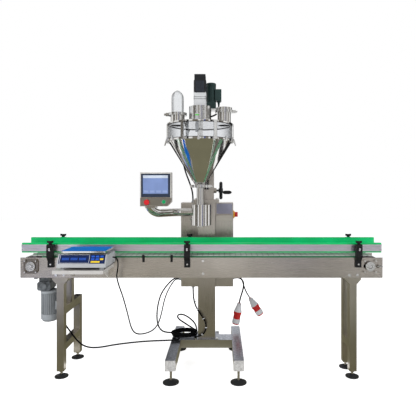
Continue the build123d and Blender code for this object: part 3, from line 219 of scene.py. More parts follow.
def new_material(name, colour, roughness, metallic=0.0):
    """A principled material with one colour and a plain finish, its nodes and its shader."""
    material = bpy.data.materials.new(name)
    material.use_nodes = True
    tree = material.node_tree
    shader = tree.nodes["Principled BSDF"]
    feed(shader, {"Base Color": colour, "Roughness": roughness, "Metallic": metallic})
    return material, tree, shader


def opened(material):
    """A finished material's nodes, its shader and the socket that feeds its colour."""
    tree = material.node_tree
    shader = tree.nodes["Principled BSDF"]
    return tree, shader, shader.inputs["Base Color"].links[0].from_socket


def noise(tree, scale, detail=3.0, stretch=(1, 1, 1)):
    """A noise in the piece's own space, stretched along the axes."""
    place = add_node(tree, "TexCoord", {})
    mapping = add_node(tree, "Mapping", {"Vector": place.outputs["Object"]})
    mapping.inputs["Scale"].default_value = stretch
    values = {"Scale": scale, "Detail": detail, "Vector": mapping.outputs["Vector"]}
    return add_node(tree, "TexNoise", values).outputs["Fac"]


def ramp(value, low, high, span=(0.3, 0.7)):
    """Two colours or greys mixed by a value."""
    node = add_node(value.id_data, "ValToRGB", {"Fac": value})
    for element, position, colour in zip(node.color_ramp.elements, span, (low, high)):
        element.position = position
        element.color = (*colour, 1)
    return node.outputs["Color"]


def remap(value, low, high):
    """A value between 0 and 1 carried to another span."""
    node = add_node(value.id_data, "MapRange", {"Value": value, "To Min": low, "To Max": high})
    return node.outputs["Result"]


def bump(shader, value, strength, distance=0.001, edge=0.0012):
    """Surface relief over slightly rounded edges."""
    tree = shader.id_data
    rounded = add_node(tree, "Bevel", {"Radius": edge})
    rounded.samples = 4
    relief = add_node(tree, "Bump", {"Strength": strength, "Distance": distance, "Height": value,
                                     "Normal": rounded.outputs["Normal"]})
    feed(shader, {"Normal": relief.outputs["Normal"]})


def object_axis(tree, axis):
    """One coordinate of the piece's own space."""
    place = add_node(tree, "TexCoord", {})
    return add_node(tree, "SeparateXYZ", {"Vector": place.outputs["Object"]}).outputs[axis]


def normal_axis(tree, axis):
    """How far a surface faces along an axis."""
    surface = add_node(tree, "NewGeometry", {})
    return add_node(tree, "SeparateXYZ", {"Vector": surface.outputs["Normal"]}).outputs[axis]


def mixed(mask, first, second, blend="MIX"):
    """Two colours, the second where the mask is one."""
    node = add_node(first.id_data, "Mix", {})
    node.data_type = "RGBA"
    node.blend_type = blend
    return feed(node, {"Factor": mask, "A": first, "B": second}).outputs["Result"]


def shade(colour, factor):
    """A colour made lighter or darker."""
    return tuple(min(1.0, channel * factor) for channel in colour)


def brushed(name, colour, roughness, grain, depth=0.06):
    """Brushed stainless steel: fine lines along one axis, with cloudy changes of tone."""
    material, tree, shader = new_material(name, colour, roughness, 1.0)
    lines = noise(tree, 900, 2, grain)
    tone = ramp(noise(tree, 3.5, 4), shade(colour, 0.86), shade(colour, 1.1))
    streak = ramp(lines, (0.9, 0.9, 0.9), (1.06, 1.06, 1.06))
    feed(shader, {"Base Color": mixed(1.0, tone, streak, "MULTIPLY"),
                  "Roughness": remap(lines, roughness - 0.06, roughness + 0.08)})
    bump(shader, lines, depth, 0.0004)
    return material


def polished(name, colour, roughness):
    """Polished steel with faint turning marks and finger smears."""
    material, tree, shader = new_material(name, colour, roughness, 1.0)
    marks = noise(tree, 500, 2, (1, 1, 0.05))
    smear = noise(tree, 7, 5)
    feed(shader, {"Base Color": ramp(smear, shade(colour, 0.92), shade(colour, 1.05)),
                  "Roughness": remap(smear, roughness * 0.6, roughness * 1.8)})
    bump(shader, marks, 0.05, 0.0003, 0.0008)
    return material


def plastic(name, colour, roughness=0.42, grain=1200.0, depth=0.12, coat=0.0, glare=0.35):
    """Moulded plastic: fine grain, slight mottling and worn gloss."""
    material, tree, shader = new_material(name, colour, roughness)
    fine = noise(tree, grain, 2)
    cloud = noise(tree, 9, 4)
    feed(shader, {"Base Color": ramp(cloud, shade(colour, 0.88), shade(colour, 1.08)),
                  "Roughness": remap(cloud, roughness - 0.07, roughness + 0.1),
                  "Coat Weight": coat, "Specular IOR Level": glare})
    bump(shader, fine, depth, 0.0003)
    return material


def paint(name, colour, roughness=0.35):
    """Sprayed paint with orange peel and dusty patches."""
    material, tree, shader = new_material(name, colour, roughness)
    peel = noise(tree, 350, 3)
    dust = noise(tree, 14, 5)
    dusty = tuple(channel * 1.05 + 0.006 for channel in colour)
    feed(shader, {"Base Color": ramp(dust, shade(colour, 0.85), dusty),
                  "Roughness": remap(dust, roughness - 0.08, roughness + 0.14),
                  "Coat Weight": 0.05, "Specular IOR Level": 0.3})
    bump(shader, peel, 0.2, 0.0005)
    return material


def clear_plastic(name, tint, roughness, ior):
    """Clear acrylic with faint haze, darker where it is seen edge-on."""
    material, tree, shader = new_material(name, tint, roughness)
    haze = noise(tree, 25, 5)
    facing = add_node(tree, "LayerWeight", {"Blend": 0.5}).outputs["Facing"]
    feed(shader, {"Base Color": ramp(facing, tint, shade(tint, 0.3), (0.25, 0.8)),
                  "Roughness": remap(haze, roughness * 0.5, roughness * 2.5),
                  "Transmission Weight": 1.0, "IOR": ior})
    return material


def base_material(front_face):
    """Brushed steel with pale blasted end plates, and a painted reflection: mottled blue-grey on the faces
    that point up, the tops of the tubes.
    """
    material = brushed("steel_base", (0.6, 0.57, 0.52), 0.3, (1, 0.02, 1))
    tree, shader, steel = opened(material)
    # painted reflection: faces that point up get a mottled blue-grey in place of the steel's colour
    up_facing_reflection_mask = calculate("GREATER_THAN", normal_axis(tree, "Z"), 0.7)
    steel_with_painted_top_reflection = mixed(up_facing_reflection_mask, steel, ramp(noise(tree, 60, 4), (0.2, 0.22, 0.26), (0.5, 0.52, 0.58)))
    ends = calculate("LESS_THAN", object_axis(tree, "Y"), front_face)
    pale = ramp(noise(tree, 90, 4), (0.5, 0.49, 0.48), (0.78, 0.77, 0.76))
    feed(shader, {"Base Color": mixed(ends, steel_with_painted_top_reflection, pale), "Metallic": remap(ends, 1.0, 0.15)})
    return material


def foot_material(pad_top):
    """Black rubber pads with bright threaded stems and nuts above them."""
    material = plastic("foot_rubber", (0.018, 0.019, 0.022), 0.5, 600, 0.2)
    tree, shader, rubber = opened(material)
    stem = calculate("GREATER_THAN", object_axis(tree, "Z"), pad_top)
    steel = ramp(noise(tree, 300, 3, (1, 1, 6)), (0.42, 0.38, 0.3), (0.74, 0.7, 0.6))
    feed(shader, {"Base Color": mixed(stem, rubber, steel), "Metallic": remap(stem, 0.0, 0.9)})
    return material


def ribbed_motor_material(x, y, core, tip, flange_top):
    """Grey motor paint with painted shade between the ribs, darker towards the motor's axis, and a dark
    mottle above the flange.
    """
    material = paint("motor_grey", (0.43, 0.46, 0.485), 0.34)
    tree, shader, outer = opened(material)
    squares = []
    for axis, centre in (("X", x), ("Y", y)):
        away = calculate("SUBTRACT", object_axis(tree, axis), centre)
        squares.append(calculate("POWER", away, 2))
    # painted shade: near the axis, between the ribs, the colour goes dark; only the rib tips keep the
    # paint's colour
    depth = ramp(calculate("ADD", *squares), (0, 0, 0), (1, 1, 1), (core * core, tip * tip))
    boxed = calculate("GREATER_THAN", object_axis(tree, "Z"), flange_top)
    mottled = ramp(noise(tree, 30, 4), (0.08, 0.08, 0.08), (0.4, 0.4, 0.4))
    # the dark colour of the painted shade between the ribs, and of the mottle above the flange
    grime_and_shade = ramp(noise(tree, 40, 4), (0.02, 0.024, 0.026), (0.05, 0.055, 0.06))
    feed(shader, {"Base Color": mixed(mixed(boxed, depth, mottled), grime_and_shade, outer)})
    return material


def belt_material(first_joint, pitch, gap):
    """Pale moulded slats with dirt in the grooves of the joints between them."""
    material = plastic("belt_slats", (0.5, 0.5, 0.49), 0.42)
    tree, shader, slat = opened(material)
    pitches_to_stay_positive = 20
    shift = pitches_to_stay_positive * pitch + gap / 2 - first_joint
    shifted = calculate("ADD", object_axis(tree, "X"), shift)
    joint = calculate("LESS_THAN", calculate("MODULO", shifted, pitch), gap)
    grime_and_shade = ramp(noise(tree, 30, 4), (0.05, 0.05, 0.05), (0.16, 0.155, 0.15))
    feed(shader, {"Base Color": mixed(joint, slat, grime_and_shade)})
    return material


def guide_rail_material(name, low, least_facing):
    """Green plastic lips above and below an aluminium body, which shows where it faces back far enough."""
    material, tree, shader = new_material(name, (0.0, 0.42, 0.12), 0.36)
    middle_z, half_body = (low + rail_height / 2) / 1000, (rail_height / 2 - rail_lip) / 1000
    body = calculate("COMPARE", object_axis(tree, "Z"), middle_z, half_body)
    bare = calculate("GREATER_THAN", normal_axis(tree, "Y"), least_facing)
    metal = calculate("MULTIPLY", body, bare)
    lines = noise(tree, 900, 2, (0.015, 1, 1))
    green_tone = ramp(noise(tree, 6, 4), (0.0, 0.45, 0.12), (0.0, 0.58, 0.17))
    metal_tone = ramp(lines, (0.74, 0.71, 0.79), (0.93, 0.9, 0.98))
    feed(shader, {"Base Color": mixed(metal, green_tone, metal_tone), "Metallic": metal})
    bump(shader, lines, 0.1, 0.0003)
    return material


rail_height = 67.0
rail_lip = 10.0
front_rail_low = 862.0
rear_rail_low = 884.0
along_x, along_z = (0.004, 1, 1), (1, 1, 0.004)
satin_steel = polished("steel_satin", (0.72, 0.72, 0.71), 0.2)
bright_steel = polished("steel_bright", (0.8, 0.8, 0.8), 0.22)
black_plastic = plastic("black_plastic", (0.012, 0.012, 0.013), 0.45, glare=0.2)
cord_black = plastic("cord_black", (0.004, 0.004, 0.005), 0.6, 900, 0.15, glare=0.06)
servo_black = paint("servo_black", (0.012, 0.013, 0.016), 0.38)
motor_green = paint("motor_green", (0.022, 0.05, 0.047), 0.34)
lid_steel = brushed("relay_lid", (0.62, 0.58, 0.52), 0.34, along_x)
panel_rim_steel = plastic("panel_rim", (0.7, 0.68, 0.64), 0.35)
# the servo's ribs in a lighter blue-grey than its black paint: a painted highlight on the ribs
rib_blue_highlight = paint("servo_rib_blue", (0.035, 0.042, 0.06), 0.34)
# pale, only partly metallic steel for the scale shelf: the bright look of its front lip is a painted
# highlight in the colour
steel_shelf_painted_highlight = brushed("steel_shelf_painted_highlight", (0.85, 0.83, 0.8), 0.42, along_x)
feed(steel_shelf_painted_highlight.node_tree.nodes["Principled BSDF"], {"Metallic": 0.45})
cast_silver = paint("cast_silver", (0.6, 0.61, 0.62), 0.35)
dome_clear = clear_plastic("dome_clear", (0.88, 0.89, 0.9), 0.03, 1.3)
bezel_blue = plastic("panel_bezel", (0.03, 0.042, 0.07), 0.35, glare=0.25)
bare_plate = plastic("bare_plate", (0.36, 0.35, 0.46), 0.4)
strip_steel = brushed("panel_strip", (0.36, 0.335, 0.29), 0.36, (0.02, 1, 1), 0.15)
yellow = plastic("yellow_key", (0.85, 0.6, 0.03), 0.4)
blue_key = plastic("blue_key", (0.02, 0.1, 0.55), 0.4)
white_plastic = plastic("white_plastic", (0.75, 0.76, 0.78), 0.45)
teal_film = plastic("pan_film", (0.0, 0.15, 0.6), 0.35, glare=0.25)
dark_gap = plastic("dark_gap", (0.015, 0.015, 0.016), 0.6)
lamp_green = plastic("lamp_green", (0.12, 0.62, 0.08), 0.3)
plug_red = plastic("plug_red", (0.62, 0.02, 0.02), 0.35)
navy_console = plastic("console_navy", (0.008, 0.02, 0.085), 0.4, glare=0.15)
screen_blue = plastic("screen_blue", (0.21, 0.29, 0.54), 0.3, glare=0.3)
screen_key = plastic("screen_key", (0.29, 0.38, 0.64), 0.3, glare=0.3)
screen_pale = plastic("screen_pale", (0.6, 0.67, 0.78), 0.3, glare=0.3)

# The CAD nodes that each material goes on
finishes = {
    brushed("steel_brushed_along", (0.6, 0.555, 0.51), 0.27, along_x): "conveyor_plates",
    brushed("steel_brushed_upright", (0.55, 0.51, 0.465), 0.28, along_z):
        "main_column control_cabinet cabinet_cover lift_column hmi_box head_carriage",
    brushed("steel_leg", (0.56, 0.52, 0.45), 0.3, along_z): "left_leg_frame right_leg_frame",
    steel_shelf_painted_highlight: "scale_shelf",
    base_material(front_face=-0.293): "base_frame",
    polished("bearing_steel", (0.3, 0.27, 0.24), 0.3): "bearing_blocks",
    polished("steel_polished", (0.74, 0.73, 0.71), 0.07):
        "hopper_cone hopper_lid hmi_arm splash_shield dosing_tube inlet_cap agitator auger_screw "
        "scale_platter",
    satin_steel: "head_clamps hopper_tie_bars motor_stand",
    bright_steel: "frame_fasteners lift_screw drive_shaft idler_shaft",
    guide_rail_material("front_guide", front_rail_low, least_facing=-2.0): "front_rail",
    guide_rail_material("rear_guide", rear_rail_low, least_facing=-0.5): "rear_rail",
    plastic("green_wear_strip", (0.01, 0.14, 0.055), 0.5): "wear_strips",
    belt_material(first_joint=-1.174, pitch=0.0381, gap=0.0026): "slat_belt",
    black_plastic: "rail_brackets photo_sensors crank_grip",
    foot_material(pad_top=0.0205): "levelling_feet",
    cord_black: "cable_coil scale_cable motor_cable panel_cable mains_cord feeder_cord head_cable",
    servo_black: "servo_motor handwheel",
    motor_green: "stirring_motor",
    ribbed_motor_material(x=-1.089, y=-0.0705, core=0.0545, tip=0.0577, flange_top=0.59):
        "conveyor_gearmotor",
    cast_silver: "drive_gearbox",
    clear_plastic("acrylic", (0.86, 0.87, 0.885), 0.05, 1.15): "hopper_window",
    plastic("red_button", (0.62, 0.015, 0.02), 0.28, coat=0.4): "stop_button isolator_knob",
    plastic("green_button", (0.0, 0.33, 0.1), 0.28, coat=0.4): "start_button",
    plastic("orange_switch", (0.9, 0.42, 0.03), 0.4): "isolator_base",
    plug_red: "mains_plug feeder_coupler",
    plastic("panel_navy", (0.012, 0.02, 0.055), 0.25, coat=0.3): "hmi_screen",
    plastic("scale_case", (0.47, 0.485, 0.5), 0.42): "scale_body",
    plastic("gland_grey", (0.5, 0.51, 0.52), 0.45): "cable_glands level_sensor",
}
for material, names in finishes.items():
    for name in names.split():
        for slot in nodes[name].material_slots:
            slot.link = "OBJECT"
            slot.material = material


# Cords

def metres(place):
    """A place in millimetres as metres."""
    return tuple(value / 1000 for value in place)


def route_curve(name, points_mm):
    """A smooth open NURBS route with the given control points."""
    curve = bpy.data.curves.new(name, "CURVE")
    curve.dimensions = "3D"
    spline = curve.splines.new("NURBS")
    spline.points.add(len(points_mm) - 1)
    for point, place in zip(spline.points, points_mm):
        point.co = (*metres(place), 1)
    spline.order_u = 3
    spline.use_endpoint_u = True
    spline.resolution_u = 8
    return curve


def make_cord(name, points_mm, diameter, replaced):
    """A smooth round cord along its route."""
    curve = route_curve(name, points_mm)
    curve.bevel_depth = diameter / 2
    curve.bevel_resolution = 4
    curve.use_fill_caps = True
    curve.materials.append(cord_black)
    cord = link_object(name, curve)
    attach(cord, "machine")
    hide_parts(*replaced)
    return cord


def route_points(name, points_mm):
    """The points along a route, read from its spline."""
    guide = link_object(name, route_curve(name, points_mm))
    line = bpy.data.meshes.new_from_object(guide)
    places = [vertex.co.copy() for vertex in line.vertices]
    bpy.data.objects.remove(guide)
    return places


def circle(centre, radius, steps, first_angle=0.0):
    """Evenly spaced places on a circle, from a first angle in degrees."""
    places = []
    for step in range(steps):
        turn = math.radians(first_angle) + math.tau * step / steps
        places.append((centre[0] + radius * math.cos(turn), centre[1] + radius * math.sin(turn)))
    return places


def join_rings(shape, rings, closed=False):
    """Faces between neighbouring rings of points, and from the last to the first when closed."""
    for first, second in zip(rings, rings[1:] + (rings[:1] if closed else [])):
        for index in range(len(first)):
            after = (index + 1) % len(first)
            shape.faces.new((first[index], first[after], second[after], second[index]))


def tube_mesh(name, places, radius, sides=14):
    """A closed round tube that follows a list of places."""
    mesh = bmesh.new()
    rings = []
    across = Vector((1, 0, 0))
    for index, place in enumerate(places):
        ahead = places[min(index + 1, len(places) - 1)] - places[max(index - 1, 0)]
        ahead.normalize()
        across = (across - ahead * across.dot(ahead)).normalized()
        up = ahead.cross(across)
        rings.append([mesh.verts.new(place + u * across + v * up) for u, v in circle((0, 0), radius, sides)])
    join_rings(mesh, rings)
    mesh.faces.new(rings[0][::-1])
    mesh.faces.new(rings[-1])
    data = bpy.data.meshes.new(name)
    mesh.to_mesh(data)
    mesh.free()
    return data


scale_cable_points = [
    (-591, -262, 848), (-572, -262, 848), (-559, -260, 832), (-556, -256, 794), (-563, -248, 752),
    (-571, -240, 714), (-560, -222, 650), (-541, -200, 581), (-528, -172, 508), (-518, -140, 435),
    (-512, -108, 372), (-506, -72, 312), (-492, -36, 266), (-466, 10, 238), (-420, 72, 226),
    (-378, 130, 231), (-350, 178, 262), (-334, 212, 314), (-324, 240, 370), (-313, 264, 428),
    (-294, 284, 482), (-266, 298, 534), (-243, 304.5, 566), (-226, 304.5, 581), (-205, 304.5, 581)]
motor_cable_points = [
    (-1018, -70.5, 427), (-1018, -70.5, 403), (-1009, -67, 371), (-986, -60, 336), (-958, -52, 293),
    (-930, -42, 246), (-901, -27, 198), (-860, -11, 158), (-803, 5, 141), (-735, 14, 144),
    (-660, 23, 156), (-540, 35, 168), (-404, 50, 175), (-300, 57, 176), (-242, 62, 177),
    (-222, 60, 178), (-190, 64, 179), (-177, 92, 180), (-190, 124, 180)]
raised_loop_points = [
    (-50, 160, 217), (-62, 128, 234), (-104, 128, 260), (-148, 141, 284), (-187, 152, 305),
    (-203, 175, 321), (-194, 201, 329), (-164, 221, 323), (-126, 229, 303), (-85, 226, 271),
    (-63, 219, 243), (-56, 210, 216)]
harness_points = [
    (-205, 354.5, 581), (-235, 354.5, 581), (-268, 352, 560), (-310, 345, 515), (-345, 336, 465),
    (-366, 322, 405), (-377, 302, 335), (-376, 280, 268), (-360, 256, 215), (-328, 233, 188),
    (-285, 213, 184), (-236, 198, 188)]
panel_cable_points = [
    (-86, 269.5, 510), (-86, 269.5, 484), (-83, 250, 459), (-76, 206, 441), (-66, 160, 425),
    (-52, 121, 404), (-31, 96, 378), (-7, 84, 348), (14, 78, 316), (24, 76, 283), (22, 77, 252),
    (8, 81, 223), (-15, 91, 202), (-44, 104, 191), (-72, 118, 187), (-100, 132, 188)]
mains_cord_points = [
    (256, 304.5, 592), (276, 304.5, 592), (294, 304.5, 584.5), (308, 304.5, 570), (316, 304.5, 551),
    (316.5, 305, 528), (312, 306, 501), (304, 307, 473), (295, 308, 445), (287, 309, 417),
    (282, 309.5, 389)]
feeder_cord_points = [
    (256, 354.5, 592), (274, 354.5, 592), (290, 355, 585), (302, 356, 571), (310, 357, 552),
    (317, 358, 527), (326, 359, 499), (338, 360, 470), (353, 361, 442), (371, 362, 414)]
head_cable_points = [
    (-93, 344.5, 1220), (-93, 344.5, 1256), (-104, 340, 1310), (-124, 332, 1368), (-148, 322, 1430),
    (-166, 310, 1500), (-172, 298, 1572), (-166, 284, 1644), (-148, 264, 1712), (-116, 238, 1770),
    (-72, 206, 1812), (-22, 170, 1838), (30, 132, 1848), (76, 92, 1852), (106, 58, 1864),
    (118, 34.5, 1888), (118, 34.5, 1925)]


coil_centre = (-146.0, 174.5)
steps_per_turn = 14


def coil_turns(first_angle, last_angle, low, high, wide, deep):
    """Loose turns of slack cable, from one angle in degrees to another, and from one height to another."""
    count = round(abs(last_angle - first_angle) / 360 * steps_per_turn)
    sway, waves, first_wave, flatter = 11, 19.0, 0.4, 0.8
    points = []
    for index in range(count + 1):
        share = index / count
        angle = math.radians(first_angle + (last_angle - first_angle) * share)
        loose = sway * math.sin(waves * share + first_wave)
        x = coil_centre[0] + (wide + loose) * math.cos(angle)
        y = coil_centre[1] + (deep + flatter * loose) * math.sin(angle)
        points.append((x, y, low + (high - low) * share))
    return points


motor_lead_points = (motor_cable_points + coil_turns(205, -1788, 182, 210, 88, 63) + raised_loop_points
                     + coil_turns(8, -155, 202, 192, 90, 60) + harness_points[::-1])
scale_cord = make_cord("scale_lead", scale_cable_points, 0.009, ["scale_cable"])
motor_cord = make_cord("motor_lead", motor_lead_points, 0.011, ["motor_cable", "cable_coil"])
panel_cord = make_cord("panel_lead", panel_cable_points, 0.011, ["panel_cable"])
mains = make_cord("supply_lead", mains_cord_points, 0.012, ["mains_cord"])
feeder = make_cord("outlet_lead", feeder_cord_points, 0.010, ["feeder_cord"])
head_places = route_points("head_lead_route", head_cable_points)
head_mesh = tube_mesh("head_lead", head_places, 0.006)
head_mesh.shade_smooth()
head_mesh.materials.append(cord_black)
head_cord = link_object("head_lead", head_mesh)
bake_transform(head_cord)
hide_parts("head_cable")


# Pieces in millimetres

line_y = -70.5
nozzle_x = -14.0
wheel_x = 134.0
bracket_xs = (-1037.0, -98.0, 1080.0)
bracket_depth = 35.0
bracket_above_rod = 29.0
box_faces = ((0, 1, 3, 2), (4, 6, 7, 5), (0, 4, 5, 1), (2, 3, 7, 6), (0, 2, 6, 4), (1, 5, 7, 3))


def span(centre, half):
    """The ends of a stretch about a centre."""
    return (centre - half, centre + half)


def corner(name):
    """A node's lowest and highest corners."""
    low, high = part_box(name)
    return [1000 * value for value in low], [1000 * value for value in high]


def middle(name, *axes):
    """A node's centre along the given axes."""
    low, high = corner(name)
    return tuple((low[axis] + high[axis]) / 2 for axis in axes)


def add_box(shape, places):
    """A box from its eight corners, in order of the first, second and third direction."""
    corners = [shape.verts.new(place) for place in places]
    for face in box_faces:
        shape.faces.new([corners[index] for index in face])


def add_block(shape, x, y, z):
    """An upright box from its three (low, high) spans."""
    add_box(shape, [(a, b, c) for a in x for b in y for c in z])


def block(x, y, z):
    """A new shape with one upright box."""
    shape = bmesh.new()
    add_block(shape, x, y, z)
    return shape


def all_around(shape, count, centre, radius, size, z, offset=0.0):
    """Equal boxes that face outwards round a circle, with their radial and tangential size."""
    for index in range(count):
        turn = math.radians(360 / count * (index + offset))
        out = Vector((math.cos(turn), math.sin(turn), 0))
        side = Vector((-out.y, out.x, 0))
        base = Vector((*centre, 0)) + radius * out
        add_box(shape, [base + a * out + b * side + Vector((0, 0, level))
                        for a in span(0, size[0] / 2) for b in span(0, size[1] / 2) for level in z])


def add_prism(shape, axis, outline, ends):
    """An outline in the plane across an axis, carried along it."""
    order = {"x": (2, 0, 1), "y": (0, 2, 1), "z": (0, 1, 2)}[axis]
    rings = []
    for level in ends:
        rings.append([shape.verts.new([(u, v, level)[index] for index in order]) for u, v in outline])
    join_rings(shape, rings)
    shape.faces.new(rings[0][::-1])
    shape.faces.new(rings[1])


def add_rod(shape, axis, place, ends, radius, steps=32):
    """A round rod along an axis through a place across it."""
    add_prism(shape, axis, circle(place, radius, steps), ends)


def add_turned(shape, outline, x, y, steps=96):
    """A ring with the given (radius, height) outline about an upright axis."""
    rings = []
    for u, v in circle((0, 0), 1, steps):
        rings.append([shape.verts.new((x + radius * u, y + radius * v, z)) for radius, z in outline])
    join_rings(shape, rings, closed=True)


def add_flat_ring(shape, place, radii, ends, steps=48):
    """A flat ring along Y from its inner and outer radius."""
    rings = []
    for radius, y in rectangle(*radii, *ends):
        rings.append([shape.verts.new((x, y, z)) for x, z in circle(place, radius, steps)])
    join_rings(shape, rings, closed=True)


def pointing(first, second, place):
    """The placing at a place that turns the Z axis from one route point towards another."""
    turn = (Vector(second) - Vector(first)).normalized().to_track_quat("Z", "Y")
    return Matrix.Translation(place) @ turn.to_matrix().to_4x4()


def make_piece(name, shape, material, body, replaced=(), edge=0.6):
    """A finished object with softened edges that rides on a body."""
    bmesh.ops.scale(shape, vec=(0.001, 0.001, 0.001), verts=shape.verts)
    bmesh.ops.recalc_face_normals(shape, faces=shape.faces)
    mesh = bpy.data.meshes.new(name)
    shape.to_mesh(mesh)
    shape.free()
    mesh.materials.append(material)
    mesh.shade_smooth()
    mesh.set_sharp_from_angle(angle=math.radians(32))
    made = link_object(name, mesh)
    if edge:
        soft = made.modifiers.new("edges", "BEVEL")
        soft.width = edge / 1000
        soft.segments = 2
        soft.limit_method = "ANGLE"
        soft.angle_limit = math.radians(40)
    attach(made, body)
    if replaced:
        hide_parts(*replaced)


# Touch panel

def panel_pieces():
    """The screen's bezel, its picture, the strip behind the buttons and their collars."""
    low, high = corner("hmi_screen")
    front, back = low[1], high[1]
    left, right, bottom, top = low[0] + 12, high[0] - 15, low[2] + 24, high[2] - 11
    bezel = bmesh.new()
    for x, z in (((low[0], left), (low[2], high[2])), ((right, high[0]), (low[2], high[2])),
                 ((left, right), (low[2], bottom)), ((left, right), (top, high[2]))):
        add_block(bezel, x, (front, back), z)
    make_piece("screen_bezel", bezel, bezel_blue, "panel", ["hmi_screen"], 1.0)
    picture = block((left, right), (front + 1.5, back), (bottom, top))
    make_piece("screen_picture", picture, screen_blue, "panel", edge=0)
    raised = (front + 1.2, front + 3)
    header = block((left + 1, right - 1), raised, (top - 21, top - 1))
    make_piece("screen_header", header, screen_pale, "panel", edge=0)
    keys = bmesh.new()
    key_count, key_inset = 4, 6
    pitch = (right - left) / key_count
    for index in range(key_count):
        start = left + index * pitch
        add_block(keys, (start + key_inset, start + pitch - key_inset), raised, (bottom + 8, bottom + 24))
    make_piece("screen_keys", keys, screen_key, "panel", edge=0)
    box_low, box_high = corner("hmi_box")
    box_front = box_low[1]
    strip_left, strip_right = box_low[0] + 7, box_high[0] - 6
    strip_low, strip_top, cut = box_low[2] + 6, low[2] - 4, 27
    outline = [(strip_left, strip_low), (strip_right - cut, strip_low), (strip_right, strip_low + cut),
               (strip_right, strip_top), (strip_left, strip_top)]
    strip = bmesh.new()
    add_prism(strip, "y", outline, (box_front - 1.2, box_front + 0.5))
    make_piece("button_strip", strip, strip_steel, "panel", edge=0.3)
    collars = bmesh.new()
    for name, radius in (("stop_button", 17), ("start_button", 16)):
        add_rod(collars, "y", middle(name, 0, 2), (box_front - 3.2, box_front - 1), radius)
    make_piece("button_collars", collars, bright_steel, "panel", edge=0.4)


def panel_trim():
    """A bright rim along the top and sides of the panel's front."""
    low, high = corner("hmi_box")
    front = corner("hmi_screen")[0][1]
    depth, side_top = (front + 1, front + 4), high[2] - 9
    rim = bmesh.new()
    add_block(rim, (low[0] + 1, high[0] - 1), depth, (side_top, high[2] - 1))
    for x in ((low[0] + 1, low[0] + 7), (high[0] - 7, high[0] - 1)):
        add_block(rim, x, depth, (low[2] + 60, side_top))
    make_piece("panel_rim", rim, panel_rim_steel, "panel", edge=0.8)


# Scale

def scale_pieces():
    """The plate, display frame, digits and keys on the sloping console, and the pan's film."""
    low, high = corner("scale_body")
    left, right = low[0], high[0]
    start = (low[1] + 2, low[2] + 42)
    end = (low[1] + 36, high[2])
    length = math.hypot(end[0] - start[0], end[1] - start[1])
    along = ((end[0] - start[0]) / length, (end[1] - start[1]) / length)

    def on_slope(shape, x, rise, lift):
        """A low block from its spans across and up the slope, let in by 1 mm."""
        outline = []
        for run, height in rectangle(*rise, -1.0, lift):
            outline.append((start[0] + run * along[0] - height * along[1],
                            start[1] + run * along[1] + height * along[0]))
        add_prism(shape, "x", outline, x)

    plate = bmesh.new()
    on_slope(plate, (left + 8, right - 8), (1, length - 1.5), 1.0)
    make_piece("console_plate", plate, navy_console, "machine", edge=0.3)
    frame_bars = bmesh.new()
    display_left, display_right, bar_lift = left + 14, right - 107, 1.8
    for bar in ((display_left, display_left + 2), (display_right - 2, display_right)):
        on_slope(frame_bars, bar, (3, length - 3), bar_lift)
    for rise in ((3, 5), (length - 5, length - 3)):
        on_slope(frame_bars, (display_left, display_right), rise, bar_lift)
    make_piece("display_frame", frame_bars, white_plastic, "machine", edge=0.2)
    digits = bmesh.new()
    groups, digits_in_group, group_pitch, digit_pitch = 3, 6, 54, 7.4
    for group in range(groups):
        for index in range(digits_in_group):
            x = left + 30 + group * group_pitch + index * digit_pitch
            on_slope(digits, (x, x + 4.6), (24, 40), 1.6)
    make_piece("display_digits", digits, blue_key, "machine", edge=0)
    keys, bright_keys = bmesh.new(), bmesh.new()
    first_key, key_pitch, key_width, key_lift = right - 96, 28, 21, 2.4
    rows = [(length - 22, length - 10), (length - 40, length - 28), (length - 58, length - 46)]
    for row in (0, 1):
        for index in range(3):
            x = first_key + index * key_pitch
            shape = bright_keys if (row, index) == (1, 2) else keys
            on_slope(shape, (x, x + key_width), rows[row], key_lift)
    on_slope(bright_keys, (first_key, first_key + 2 * key_pitch), rows[2], key_lift)
    make_piece("console_keys", keys, blue_key, "machine", edge=0.5)
    make_piece("console_bright_keys", bright_keys, yellow, "machine", edge=0.5)
    low, high = corner("scale_platter")
    inset = 3
    film = block((low[0] + inset, high[0] - inset), (low[1] + inset, high[1] - inset),
                 (high[2] - 0.4, high[2] + 0.6))
    make_piece("pan_film", film, teal_film, "scale_platter", edge=0)


# Filling head

def head_pieces():
    """Latches and gaskets round the window, bolts on the lid, and the level sensor's lamp."""
    nozzle = (nozzle_x, line_y)
    window_low, window_high = corner("hopper_window")
    ring_z, lid_z = window_low[2], window_high[2]
    latches = bmesh.new()
    for radius, size, low, high in ((234, (5, 15), -20, 1), (238, (5, 9), -12, 14), (232, (10, 9), 9, 15)):
        all_around(latches, 14, nozzle, radius, size, (ring_z + low, ring_z + high), 0.5)
    make_piece("ring_latches", latches, bright_steel, "head", edge=0.7)
    gaskets = bmesh.new()
    for low, high in ((ring_z, ring_z + 4), (lid_z - 4, lid_z)):
        add_turned(gaskets, rectangle(226, 230, low, high), *nozzle)
    make_piece("window_gaskets", gaskets, dark_gap, "head", edge=0.4)
    bolts = bmesh.new()
    lid_top = lid_z + 10
    hexagon = 6
    for place in circle(nozzle, 83, 6, 30):
        add_rod(bolts, "z", place, (lid_top + 8, lid_top + 14), 5.5, hexagon)
    for place in circle(nozzle, 214, 12, 15):
        add_rod(bolts, "z", place, (lid_top, lid_top + 6), 6, hexagon)
    make_piece("lid_bolts", bolts, bright_steel, "head", edge=0.5)
    lamp = bmesh.new()
    top = corner("level_sensor")[1][2]
    add_turned(lamp, rectangle(0.5, 13.6, top - 14, top - 6), *middle("level_sensor", 0, 1), 32)
    make_piece("sensor_lamp", lamp, lamp_green, "head", edge=0.4)


